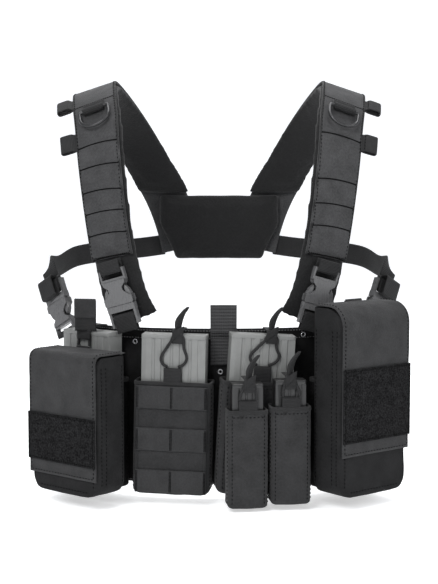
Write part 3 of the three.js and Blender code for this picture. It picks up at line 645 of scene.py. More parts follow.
def along_route(route, start, end, width, under, over, swell=None, edge=1.3 * mm):
    """place() for a cloth that lies along a route, between two heights off it."""
    def place(u, v, side):
        s = start + (end - start) * v
        x = width * (u - 0.5)
        origin, _, out, across = route.at(s)
        near = min(width / 2 - abs(x), (s - start), (end - s))
        half = (over - under) / 2 * rounding(near, edge)
        height = (under + over) / 2 + (half if side else -half)
        point = origin + across * x
        if side:
            height += swell(s, x) if swell else 0
            height += rumple(point, 14 * mm, 0.15 * mm)
        return point + out * height
    return place


def smooth_line(corners, radius, steps=5):
    """A line through corners, each one rounded off."""
    corners = [Vector(c) for c in corners]
    line = [corners[0]]
    for a, b, c in zip(corners, corners[1:], corners[2:]):
        reach = min(radius, (b - a).length * 0.49, (c - b).length * 0.49)
        start = b + (a - b).normalized() * reach
        end = b + (c - b).normalized() * reach
        for i in range(steps + 1):
            w = i / steps
            line.append(start * (1 - w) ** 2 + b * 2 * w * (1 - w) + end * w**2)
    return line + [corners[-1]]


def along_line(line, wide, width, thickness, matrix, *,
               swell=None, edge=0.9 * mm, narrow=None, soft=0.12 * mm):
    """place() for webbing along a line with its width in the direction wide, and its length."""
    wide = Vector(wide).normalized()
    lengths = [0.0]
    for a, b in zip(line, line[1:]):
        lengths.append(lengths[-1] + (b - a).length)
    total = lengths[-1]
    ways = [(b - a).normalized() for a, b in zip(line, line[1:])]
    turns = [ways[0]] + [(a + b).normalized() for a, b in zip(ways, ways[1:])] + [ways[-1]]

    def place(u, v, side):
        s = v * total
        k = min(max(bisect.bisect_left(lengths, s), 1), len(line) - 1)
        share = (s - lengths[k - 1]) / max(lengths[k] - lengths[k - 1], 1e-9)
        point = line[k - 1].lerp(line[k], share)
        way = turns[k - 1].lerp(turns[k], share).normalized()
        normal = way.cross(wide).normalized()
        here = width * (narrow(v) if narrow else 1)
        x = here * (u - 0.5)
        near = min(here / 2 - abs(x), s, total - s)
        height = thickness / 2 * rounding(near, edge) * (1 if side else -1)
        lift = swell(u, v) if swell else 0
        height += lift + rumple(point + wide * x, 11 * mm, soft)
        return matrix @ (point + wide * x + normal * height)

    return place, total


def strap(name, line, wide, width, thickness, matrix, material, body, slot,
          replaced=(), step=2 * mm, columns=10, **more):
    """A piece of webbing or cloth along a line. Returns it with its place function and length."""
    place, total = along_line(line, wide, width, thickness, matrix, **more)
    rows = max(int(total / step), 4)
    mesh = to_mesh(cloth(place, columns, rows, width, total), name)
    return show(name, mesh, material, body, slot, replaced), place, total


def rod(name, line, radius, closed=False, sides_round=3):
    """The mesh of a round rod or cord along a line."""
    curve = bpy.data.curves.new(name, "CURVE")
    curve.dimensions = "3D"
    curve.bevel_depth = radius
    curve.bevel_resolution = sides_round
    curve.use_fill_caps = not closed
    spline = curve.splines.new("POLY")
    spline.points.add(len(line) - 1)
    for point, place in zip(spline.points, line):
        point.co = (*place, 1)
    spline.use_cyclic_u = closed
    holder = bpy.data.objects.new(name, curve)
    bpy.context.scene.collection.objects.link(holder)
    bpy.context.view_layer.update()
    graph = bpy.context.evaluated_depsgraph_get()
    mesh = bpy.data.meshes.new_from_object(holder.evaluated_get(graph))
    bpy.data.objects.remove(holder)
    bm = bmesh.new()
    bm.from_mesh(mesh)
    bmesh.ops.remove_doubles(bm, verts=bm.verts, dist=1e-6)
    return to_mesh(bm, name)


# ------------------------------------------------------------------ stitching
def sewn(place, start, end, pitch=stitch_pitch, lift=stitch_lift):
    """Stitches on a cloth's outer face from one (u, v) to another: point, way along, way out."""
    def at(w):
        u, v = start[0] + (end[0] - start[0]) * w, start[1] + (end[1] - start[1]) * w
        over, under = place(u, v, 1), place(u, v, 0)
        return over, (over - under).normalized()
    length = sum((at((i + 1) / 24)[0] - at(i / 24)[0]).length for i in range(24))
    count = max(int(length / pitch), 1)
    made = []
    for i in range(count):
        here, out = at((i + 0.5) / count)
        ahead, _ = at(min((i + 0.9) / count, 1))
        made.append((here + out * lift, ahead - here, out))
    return made


def sewn_on(piece, points, toward, pitch=stitch_pitch, lift=stitch_lift):
    """Stitches on a piece's surface, under a line of points beside it."""
    graph = bpy.context.evaluated_depsgraph_get()
    tree = BVHTree.FromObject(piece, graph)
    toward = Vector(toward).normalized()
    made = []
    for a, b in zip(points, points[1:]):
        count = max(int((b - a).length / pitch), 1)
        for i in range(count):
            spot = a.lerp(b, (i + 0.5) / count)
            hit, normal, _, _ = tree.ray_cast(spot, toward, 0.03)
            if hit is not None and normal.dot(toward) < 0:
                made.append((hit + normal * lift, b - a, normal))
    return made


def sew(name, stitches, body, slot, material=None, long=stitch_length, thick=stitch_thickness):
    """One mesh of thread from a list of stitches."""
    bm = bmesh.new()
    for here, along, out in stitches:
        along = (along - out * along.dot(out)).normalized()
        side = out.cross(along)
        columns = (along * long / 2, side * thick / 2, out * thick / 2)
        matrix = Matrix(columns).transposed().to_4x4()
        matrix.translation = here
        bmesh.ops.create_icosphere(bm, subdivisions=1, radius=1, matrix=matrix)
    return show(name, to_mesh(bm, name), material or thread, body, slot)


# ------------------------------------------------------------------ padded pieces
def stuff(piece, cap, pressure=4.0, frames=20):
    """Blows a padded piece up a little as cloth, and keeps each point within a cap."""
    scene = bpy.context.scene
    rest = [v.co.copy() for v in piece.data.vertices]
    press = piece.modifiers.new("stuffing", "CLOTH")
    press.settings.quality = 5
    press.settings.mass = 0.25
    press.settings.use_pressure = True
    press.settings.uniform_pressure_force = pressure
    press.settings.effector_weights.gravity = 0
    press.point_cache.frame_start = 1
    press.point_cache.frame_end = frames
    for number in range(1, frames + 1):
        scene.frame_set(number)
    graph = bpy.context.evaluated_depsgraph_get()
    blown = [v.co.copy() for v in piece.evaluated_get(graph).data.vertices]
    piece.modifiers.remove(press)
    for vert, a, b in zip(piece.data.vertices, rest, blown):
        move = b - a
        if move.length > cap:
            move = move.normalized() * cap
        vert.co = a + move
    scene.frame_set(1)


def padded(name, node, body, shrink=0.3 * mm, cap=1.4 * mm):
    """A stuffed piece grown from its frame solid: fine skin, swelled by a cloth simulation."""
    bm = bmesh.new()
    bm.from_mesh(nodes[node].data)
    bmesh.ops.remove_doubles(bm, verts=bm.verts, dist=1e-5)
    mesh = to_mesh(bm, name)
    piece = show(name, mesh, lining, body, "padding", [node])
    skin = piece.modifiers.new("skin", "REMESH")
    skin.mode = "VOXEL"
    skin.voxel_size = pad_voxel
    graph = bpy.context.evaluated_depsgraph_get()
    fine = bpy.data.meshes.new_from_object(piece.evaluated_get(graph))
    piece.modifiers.remove(skin)
    piece.data = fine
    bm = bmesh.new()
    bm.from_mesh(fine)
    for _ in range(pad_passes):
        bmesh.ops.smooth_vert(
            bm, verts=bm.verts, factor=0.5, use_axis_x=True, use_axis_y=True, use_axis_z=True
        )
    bm.normal_update()
    for vert in bm.verts:
        vert.co -= vert.normal * shrink
    bm.to_mesh(fine)
    bm.free()
    fine.materials.clear()
    fine.materials.append(lining)
    stuff(piece, cap)
    for vert in fine.vertices:
        vert.co += vert.normal * rumple(vert.co, 16 * mm, 0.22 * mm)
    for face in fine.polygons:
        face.use_smooth = True
    smooth = piece.modifiers.new("smooth", "SUBSURF")
    smooth.levels = smooth.render_levels = 1
    return piece


# ------------------------------------------------------------------ bags
def block(width, depth, height, y, z):
    bm = bmesh.new()
    box = Matrix.Translation((0, y, z)) @ Matrix.Diagonal((width, depth, height, 1))
    bmesh.ops.create_cube(bm, size=1, matrix=box)
    return bm


def upright_edges(bm, height):
    return [e for e in bm.edges if abs(e.verts[0].co.z - e.verts[1].co.z) > height / 2]


def round_off(bm, edges, offset, segments):
    bmesh.ops.bevel(
        bm, geom=edges, offset=offset, segments=segments, profile=0.5, affect="EDGES", material=-1
    )


def bag(name, node, matrix, width, depth, back, low, high, wall, material, *,
        corner=5 * mm, belly=0.0, side_belly=0.0, foot_round=6 * mm, creases=0.5 * mm,
        front_round=0.0):
    """An open sewn bag: rounded corners, a rounded foot, a slack front and an open mouth."""
    half = width / 2
    front = back - depth
    bm = block(width, depth, high - low, back - depth / 2, (low + high) / 2)
    mouth = [f for f in bm.faces if f.normal.z > 0.9]
    bmesh.ops.delete(bm, geom=mouth, context="FACES")
    round_off(bm, upright_edges(bm, high - low), corner, 4)
    foot = [e for e in bm.edges if all(abs(v.co.z - low) < 1e-6 for v in e.verts)]
    foot = [e for e in foot if len(e.link_faces) == 2]
    foot = [e for e in foot if any(abs(f.normal.z) < 0.5 for f in e.link_faces)]
    round_off(bm, foot, min(corner * 0.8, 4 * mm), 3)

    def slice_at(axis, start, end, step):
        count = max(int((end - start) / step), 1)
        for i in range(1, count):
            spot = [0, 0, 0]
            spot[axis] = start + (end - start) * i / count
            way = [0, 0, 0]
            way[axis] = 1
            geom = bm.verts[:] + bm.edges[:] + bm.faces[:]
            bmesh.ops.bisect_plane(bm, geom=geom, dist=1e-6, plane_co=spot, plane_no=way)

    slice_at(0, -half, half, 5 * mm)
    slice_at(1, front, back, 6 * mm)
    slice_at(2, low, high, 4.5 * mm)
    for vert in bm.verts:
        x, y, z = vert.co
        u = x / half
        v = (z - low) / (high - low)
        deep = (back - y) / depth
        swell = math.sin(math.pi * min(max(v * 0.93 + 0.04, 0), 1)) ** 0.7
        lean = rumple(Vector((x, y * 2, z)), 24 * mm, creases) * (0.25 + 0.75 * swell)
        sharp = noise.noise(Vector((x * 0.6, y, z * 1.6 + x * 0.5)) / (13 * mm))
        lean += max(0.25 - abs(sharp), 0) * creases * 1.2 * (1 - 0.6 * v)
        if deep > 0.6:
            slack = belly * swell * (1 - u * u)
            vert.co.y -= slack * (deep - 0.6) / 0.4 + lean * (deep - 0.6) / 0.4
        if deep > 0.05:
            slack = side_belly * swell * math.sin(math.pi * deep) + lean * 0.6
            vert.co.x += math.copysign(1, x) * slack * abs(u) ** 6
        if foot_round and z < low + foot_round:
            drop = (low + foot_round - z) / foot_round
            vert.co.x *= 1 - (1 - math.sqrt(max(1 - drop * drop, 0))) * foot_round / half
        if front_round and z > high - front_round and deep > 0.5:
            rise = (z - high + front_round) / front_round
            limit = front + front_round * (1 - math.sqrt(max(1 - rise * rise, 0)))
            vert.co.y = max(vert.co.y, limit)
        if deep < 0.98 and v < 0.1:
            vert.co.z += rumple(Vector((x, y, 0)), 18 * mm, 0.5 * mm) + 0.8 * mm * u * u
    uv = bm.loops.layers.uv.new("UVMap")
    bm.normal_update()
    for face in bm.faces:
        n = face.normal
        for loop in face.loops:
            p = loop.vert.co
            if abs(n.z) > 0.8:
                loop[uv].uv = (p.x, p.y)
            elif abs(n.x) > abs(n.y):
                loop[uv].uv = (p.y, p.z)
            else:
                loop[uv].uv = (p.x, p.z)
    bmesh.ops.transform(bm, matrix=matrix, verts=bm.verts)
    piece = show(name, to_mesh(bm, name), material, "harness", "cordura", [node])
    # the open shell's normals point out of the bag, so the wall grows inwards
    inner = piece.modifiers.new("wall", "SOLIDIFY")
    inner.thickness = wall
    inner.offset = -1
    inner.use_even_offset = False
    smooth = piece.modifiers.new("smooth", "SUBSURF")
    smooth.levels = smooth.render_levels = 1
    return piece


def hem(name, matrix, width, depth, back, high, corner=5 * mm):
    """Binding tape folded over the mouth of a bag."""
    tall = 5 * mm
    half, front, rear = width / 2 - 0.6 * mm, back - depth + 0.6 * mm, back - 0.6 * mm
    corners = [
        (0, rear, 0), (-half, rear, 0), (-half, front, 0),
        (half, front, 0), (half, rear, 0), (0.3 * mm, rear, 0),
    ]
    line = [p + Vector((0, 0, high - tall / 2 + 0.5 * mm)) for p in smooth_line(corners, corner)]
    strap(
        name, line, (0, 0, 1), tall, 2.6 * mm, matrix, hem_cloth, "harness", "cordura",
        (), 3 * mm, 6,
    )


def outward(matrix, direction=(0, 1, 0)):
    return matrix.to_3x3() @ Vector(direction)


def seam_on(sack, matrix, start, end, direction=(0, 1, 0)):
    """A row of stitches on a bag, under a straight line beside it."""
    line = [matrix @ Vector(start), matrix @ Vector(end)]
    return sewn_on(sack, line, outward(matrix, direction))


def side_seams(sack, matrix, half, depths, low, high):
    """Upright rows down both sides of a bag."""
    made = []
    for k in (-1, 1):
        x = k * (half + 8 * mm)
        for y in depths:
            made += seam_on(sack, matrix, (x, y, low), (x, y, high), (-k, 0, 0))
    return made


# ------------------------------------------------------------------ shoulder straps
cell_seams = {"right": [-190, -165, -141, -118, -93, -71], "left": [-190, -158, -134, -108, -64]}


def make_keeper(name, matrix):
    roll = ring_bar / 2 + 0.6 * mm + webbing_thickness
    mid = roll - webbing_thickness / 2
    line = [Vector((0, mid, keeper_height)), Vector((0, mid, keeper_height / 2))]
    for i in range(13):
        a = i * math.pi / 8
        line.append(Vector((0, mid * math.cos(a), -mid * math.sin(a))))
    line += [
        Vector((0, mid * 0.3, mid * 0.95)), Vector((0, mid - 1.3 * mm, mid * 1.45)),
        Vector((0, mid - 1.65 * mm, keeper_height)),
    ]
    _, place, total = strap(
        f"d_ring_keeper_{name}_tape", line, (1, 0, 0), webbing_width, 1.45 * mm, matrix,
        webbing, "harness", "webbing", [f"d_ring_keeper_{name}"], 1.2 * mm,
    )
    end = 1 - 5.5 * mm / total
    rows = []
    for v in (end, 0.985):
        rows += sewn(place, (0.06, v), (0.94, v), 2.6 * mm)
    sew(f"d_ring_keeper_{name}_thread", rows, "harness", "webbing")


def make_ring(name, matrix):
    """A D of round bar: straight bar on top, bowed below."""
    half = (ring_width - ring_bar) / 2
    drop = ring_height - ring_bar
    shoulder = 0.36 * drop
    turn = [(half - 2 * mm, 0), (half - 0.6 * mm, -0.6 * mm), (half, -2 * mm), (half, -shoulder)]
    line = [Vector((-half + 2 * mm, 0, 0))] + [Vector((x, 0, z)) for x, z in turn]
    for i in range(1, 24):
        a = math.pi * i / 24
        z = -shoulder - (drop - shoulder) * math.sin(a) ** 0.9
        line.append(Vector((half * math.cos(a), 0, z)))
    line += [Vector((-x, 0, z)) for x, z in turn[:0:-1]]
    line = [matrix @ p for p in line]
    node = f"d_ring_{name}"
    mesh = rod(f"{node}_bar", line, ring_bar / 2, closed=True, sides_round=4)
    show(f"{node}_bar", mesh, ring_steel, f"{node}_body", "ring_steel", [node])


def make_side_loop(name, index, side, matrix):
    """Webbing folded over the strap's outer edge into a flat loop."""
    inside = side * (cover_width / 2 + gap + 1 * mm)
    tip = inside + side * loop_reach
    y = loop_thickness / 2 - 0.75 * mm
    root = side * (cover_width / 2 - 1.5 * mm)
    corners = [
        (root, 0.6 * mm, 0), (inside - side * 0.5 * mm, 0.2 * mm, 0),
        (inside + side * 2.2 * mm, -y, 0), (tip - side * 0.75 * mm, -y, 0),
        (tip - side * 0.75 * mm, y, 0), (inside + side * 2.2 * mm, y, 0),
        (inside - side * 0.5 * mm, 2.2 * mm, 0), (root, 2.1 * mm, 0),
    ]
    line = smooth_line(corners, 3 * mm)
    _, place, _ = strap(
        f"side_loop_{name}_{index}_tape", line, (0, 0, 1), loop_width, 1.4 * mm, matrix, webbing,
        "harness", "webbing", [f"side_loop_{name}_{index}"], 1.3 * mm,
    )
    rows = sewn(place, (0.05, 0.12), (0.95, 0.12), 3.2 * mm)
    sew(f"side_loop_{name}_{index}_thread", rows, "harness", "webbing")


def make_strap(name, side):
    route = strap_route(side)
    lift = pad_thickness + gap
    seams = [route.length_at(z * mm) for z in cell_seams[name]]
    start = route.length_at(cover_end_height)
    end = route.length - 4 * mm
    top = lift + cover_thickness

    def bow(x):
        return seam_bow * (1 - (2 * x / cover_width) ** 2)

    def swell(s, x):
        """The cells stand off the strap between their seams, and each seam is a narrow valley."""
        s -= bow(x)
        edge = min((cover_width / 2 - abs(x)) / (5 * mm), 1)
        for a, b in zip(seams, seams[1:]):
            if a <= s <= b:
                share = (s - a) / (b - a)
                rise = min(share / 0.16, 1) ** 0.5 * min((1 - share) / 0.5, 1) ** 0.6
                return (cell_bulge + cell_valley) * rise * (0.35 + 0.65 * edge) - cell_valley
        return -0.25 * mm * (1 - edge)

    padded(f"shoulder_pad_{name}_foam", f"shoulder_pad_{name}", "harness")
    place = along_route(route, start, end, cover_width, lift, top, swell)
    length = end - start
    node = f"shoulder_cover_{name}"
    mesh = to_mesh(cloth(place, 18, 260, cover_width, length), f"{node}_cloth")
    show(f"{node}_cloth", mesh, cover_cloth, "harness", "webbing", [node])

    rows = []
    for u in (0.045, 0.955):
        rows += sewn(place, (u, 0.004), (u, 0.996))
    # each quilting seam is a thick black thread rod: the thread is real, its extra width is painted
    # shade in the valley
    for number, s in enumerate(seams):
        line = []
        for i in range(25):
            x = (cover_width / 2 - 2.4 * mm) * (i / 12 - 1)
            origin, _, out, across = route.at(s + bow(x))
            line.append(origin + across * x + out * (top - 0.1 * mm))
        mesh = rod(f"shoulder_seam_{name}_{number + 1}", line, seam_thread_and_shadow_radius, sides_round=2)
        show(f"shoulder_seam_{name}_{number + 1}", mesh, thread, "harness", "webbing")
    v = 2.4 * mm / length
    rows += sewn(place, (0.05, v), (0.95, v), 2.6 * mm)
    over_ring = (route.length_at(ring_height_on_strap) + keeper_height + 3 * mm - start) / length
    rows += sewn(place, (0.05, over_ring), (0.95, over_ring), 2.6 * mm)
    sew(f"{node}_thread", rows, "harness", "webbing")

    # narrow binding rolled over both edges of the cover
    for word, u in (("inner", -1), ("outer", 1)):
        x = u * (cover_width / 2 - 1.3 * mm)
        edge = [route.at(start + length * i / 140) for i in range(141)]
        rise = lift + cover_thickness * 0.62
        line = [origin + across * x + out * rise for origin, _, out, across in edge]
        mesh = rod(f"cover_edge_{name}_{word}", line, 1.25 * mm, sides_round=2)
        show(f"cover_edge_{name}_{word}", mesh, hem_cloth, "harness", "webbing")

    bar_lift = top + gap + webbing_thickness + ring_bar / 2 + 0.6 * mm
    ring_frame = route.matrix(route.length_at(ring_height_on_strap), bar_lift)
    make_ring(name, ring_frame)
    make_keeper(name, ring_frame)
    loop_lift = pad_thickness + gap + loop_thickness / 2 - 1.2 * mm
    for index, height in enumerate(loop_heights):
        loop_frame = route.matrix(route.length_at(height), loop_lift)
        make_side_loop(name, index + 1, side, loop_frame)
    return route, start


# ------------------------------------------------------------------ buckles
def ease_edges(node, material, width=0.5 * mm, segments=2, angle=35):
    """Gives a moulded frame solid soft edges and its finish."""
    piece = nodes[node]
    piece.data.materials.clear()
    piece.data.materials.append(material)
    weld = piece.modifiers.new("weld", "WELD")
    weld.merge_threshold = 2e-5
    bevel = piece.modifiers.new("edges", "BEVEL")
    bevel.width = width
    bevel.segments = segments
    bevel.limit_method = "ANGLE"
    bevel.angle_limit = math.radians(angle)
    bevel.harden_normals = False
    bevel.use_clamp_overlap = True


def ladder_strip(name, matrix, run, tail):
    """Webbing round the ladder bar, both layers running down past the end bar."""
    rail_top = -male_block - buckle_clear + 0.5 * mm
    bar_top = rail_top - 5 * mm
    low = rail_top - rail_length - run
    y = 1.5 * mm + gap + layer / 2
    fold_top = bar_top + gap + layer / 2
    end = low + (0.8 * mm if tail else 0)
    corners = [(0, y, low), (0, y, fold_top), (0, -y, fold_top), (0, -y, end)]
    if tail:
        out = -y - layer / 2 - 1.1 * mm
        high = low + tail_length - 1.2 * mm
        corners += [
            (0, out - 8.2 * mm, low + 0.8 * mm), (0, out - 8.2 * mm, high),
            (0, out - 0.9 * mm, high), (0, out - 0.9 * mm, low + 5 * mm),
        ]
    line = smooth_line(corners, 2.4 * mm if tail else 1.7 * mm)
    strap(
        f"{name}_strip_webbing", line, (1, 0, 0), webbing_width, 1.3 * mm, matrix,
        webbing, "harness", "webbing", [f"{name}_strip"], 1.6 * mm,
    )
    return low


def frame_loop(node, matrix, length, body):
    """Webbing looped through the frame of the buckle's upper half."""
    bar_top = buckle_mouth + neck_height + frame_height
    y = buckle_thickness * 0.3 + gap + layer / 2
    low = bar_top - 3.6 * mm - gap - layer / 2
    high = bar_top + length
    corners = [(0, -y, high), (0, -y, low), (0, y, low), (0, y, high)]
    strap(
        f"{node}_webbing", smooth_line(corners, 2.6 * mm), (1, 0, 0), webbing_width, 1.3 * mm, matrix,
        webbing, body, "webbing", [node], 1.6 * mm,
    )


def make_shoulder_buckle(name, route, cover_start):
    s = route.length_at(shoulder_buckle_height)
    lift = pad_thickness + 2 * gap + cover_thickness + cell_bulge + buckle_thickness / 2
    matrix = route.matrix(s, lift) @ Matrix.Translation((0, 0, -buckle_mouth / 2))
    buckle = f"shoulder_buckle_{name}"
    for half in ("female", "male", "arm_1", "arm_2"):
        ease_edges(f"{buckle}_{half}", buckle_plastic)
    ladder_strip(buckle, matrix, strip_length, tail=False)
    frame_top = s + buckle_mouth / 2 + neck_height + frame_height
    free = cover_start - frame_top - 1.5 * mm
    frame_loop(f"shoulder_loop_{name}", matrix, free, f"{buckle}_female_body")


def make_side_buckle(name, side):
    down = Vector((side * -0.3, -0.36, -0.88)).normalized()
    out = Vector((side * 0.66, -0.75, 0))
    out = (out - down * out.dot(down)).normalized()
    across = (-out).cross(down)
    matrix = Matrix((across, -out, down)).transposed().to_4x4()
    matrix.translation = Vector((side * 182, -45, -255)) * mm
    matrix = matrix @ Matrix.Translation((0, 0, -buckle_mouth / 2))
    buckle = f"side_buckle_{name}"
    for half in ("female", "male"):
        ease_edges(f"{buckle}_{half}", buckle_plastic)
    low = ladder_strip(buckle, matrix, side_strip_length, tail=True)
    frame_loop(f"side_loop_{name}_3", matrix, 2 * mm, "harness")

    # back strap from the buckle's ladder round the ribs to the yoke
    corner = torso_arc(side * yoke_arc * 0.36, True)[0] / mm
    start = (matrix @ Vector((0, 0, low - gap))) / mm
    ahead = (matrix @ Vector((0, 0, low - 14 * mm))) / mm
    points = [
        start, ahead, (side * 191, 16, -207), (side * 174, 58, -198), (side * 134, 93, -193),
        (side * 96, 110, -190), (corner.x + side * 16, corner.y + 16, yoke_top / mm - 65),
    ]
    outs = [
        out, out, (side, 0.05, 0), (side * 0.8, 0.6, 0), (side * 0.5, 0.87, 0),
        (side * 0.25, 0.97, 0), (side * 0.12, 0.99, 0),
    ]
    back = Route([Vector(p) * mm for p in points], outs)
    half = webbing_thickness / 2
    place = along_route(back, 0, back.length, webbing_width, -half, half)
    node = f"back_strap_{name}"
    mesh = to_mesh(cloth(place, 8, 140, webbing_width, back.length), f"{node}_webbing")
    show(f"{node}_webbing", mesh, webbing, "harness", "webbing", [node])
    # sewn down with a crossed box
    end = 1 - 4 * mm / back.length
    foot = end - 0.06
    box = []
    for u0, v0, u1, v1 in (
        (0.12, end, 0.88, end), (0.12, foot, 0.88, foot),
        (0.12, end, 0.88, foot), (0.88, end, 0.12, foot),
    ):
        box += sewn(place, (u0, v0), (u1, v1), 2.4 * mm)
    sew(f"{node}_thread", box, "harness", "webbing")


# ------------------------------------------------------------------ chest panel, yoke and tab
def make_panel():
    def place(u, v, side):
        arc = (u - 0.5) * panel_arc
        point, normal = torso_arc(arc)
        drop = v * panel_height
        near = min(panel_arc / 2 - abs(arc), drop, panel_height - drop)
        half = panel_thickness / 2 * rounding(near, 3 * mm)
        height = panel_thickness / 2 + (half if side else -half)
        z = panel_top - drop
        quilt = 0.5 * mm * (rounding(near - 12 * mm, 5 * mm) - 1) if side else 0
        height += quilt + (rumple(Vector((arc, 0, z)), 20 * mm, 0.25 * mm) if side else 0)
        return point + normal * height + Vector((0, 0, z))
    name = "chest_panel_cloth"
    mesh = to_mesh(cloth(place, 110, 54, panel_arc, panel_height), name)
    show(name, mesh, panel_cloth, "harness", "cordura", ["chest_panel"])
    rows = []
    for v in (2.5 * mm / panel_height, 11 * mm / panel_height, 1 - 3 * mm / panel_height):
        rows += sewn(place, (0.01, v), (0.99, v), 3.4 * mm)
    for u in (0.012, 0.988):
        rows += sewn(place, (u, 0.02), (u, 0.98), 3.4 * mm)
    sew("chest_panel_thread", rows, "harness", "cordura", pale_thread)

    # small steel eyelets pressed through the panel between the pouches
    eyelets = ((-0.0925, -0.2835), (0.0015, -0.3155), (0.093, -0.276))
    for number, (arc, z) in enumerate(eyelets):
        point, normal = torso_arc(arc)
        turn = normal.to_track_quat("Z", "Y").to_matrix().to_4x4()
        turn.translation = point + normal * (panel_thickness + 0.1 * mm) + Vector((0, 0, z))
        ring = []
        for i in range(20):
            a = i * math.pi / 10
            ring.append(turn @ (Vector((math.cos(a), math.sin(a), 0)) * 2.3 * mm))
        name = f"eyelet_{number + 1}"
        mesh = rod(name, ring, 0.75 * mm, closed=True)
        show(name, mesh, eyelet_steel, "harness", "ring_steel")


def make_yoke():
    padded("back_yoke_foam", "back_yoke", "harness", cap=1.6 * mm)


def make_tab():
    """A doubled elastic strap standing above the panel's edge."""
    back = -panel_thickness - gap
    low, high = panel_top - 40 * mm, panel_top + tab_rise
    shift = Matrix.Translation((5 * mm, torso_at(0)[0].y - 0.3 * mm, 0))
    corners = [
        (0, back - 0.6 * mm, low), (0, back - 0.6 * mm, high - 0.6 * mm),
        (0, back - 1.8 * mm, high - 0.6 * mm), (0, back - 1.8 * mm, low),
    ]
    _, place, total = strap(
        "center_tab_elastic", smooth_line(corners, 0.6 * mm), (1, 0, 0), tab_width, 1.15 * mm, shift,
        elastic_tape, "harness", "webbing", ["center_tab"], 1.2 * mm, 12,
    )
    rows = []
    for down in (tab_rise + 4 * mm, tab_rise + 7 * mm):
        v = 0.5 + (down + 0.6 * mm) / total
        rows += sewn(place, (0.03, v), (0.97, v), 2.4 * mm)
    sew("center_tab_thread", rows, "harness", "webbing")


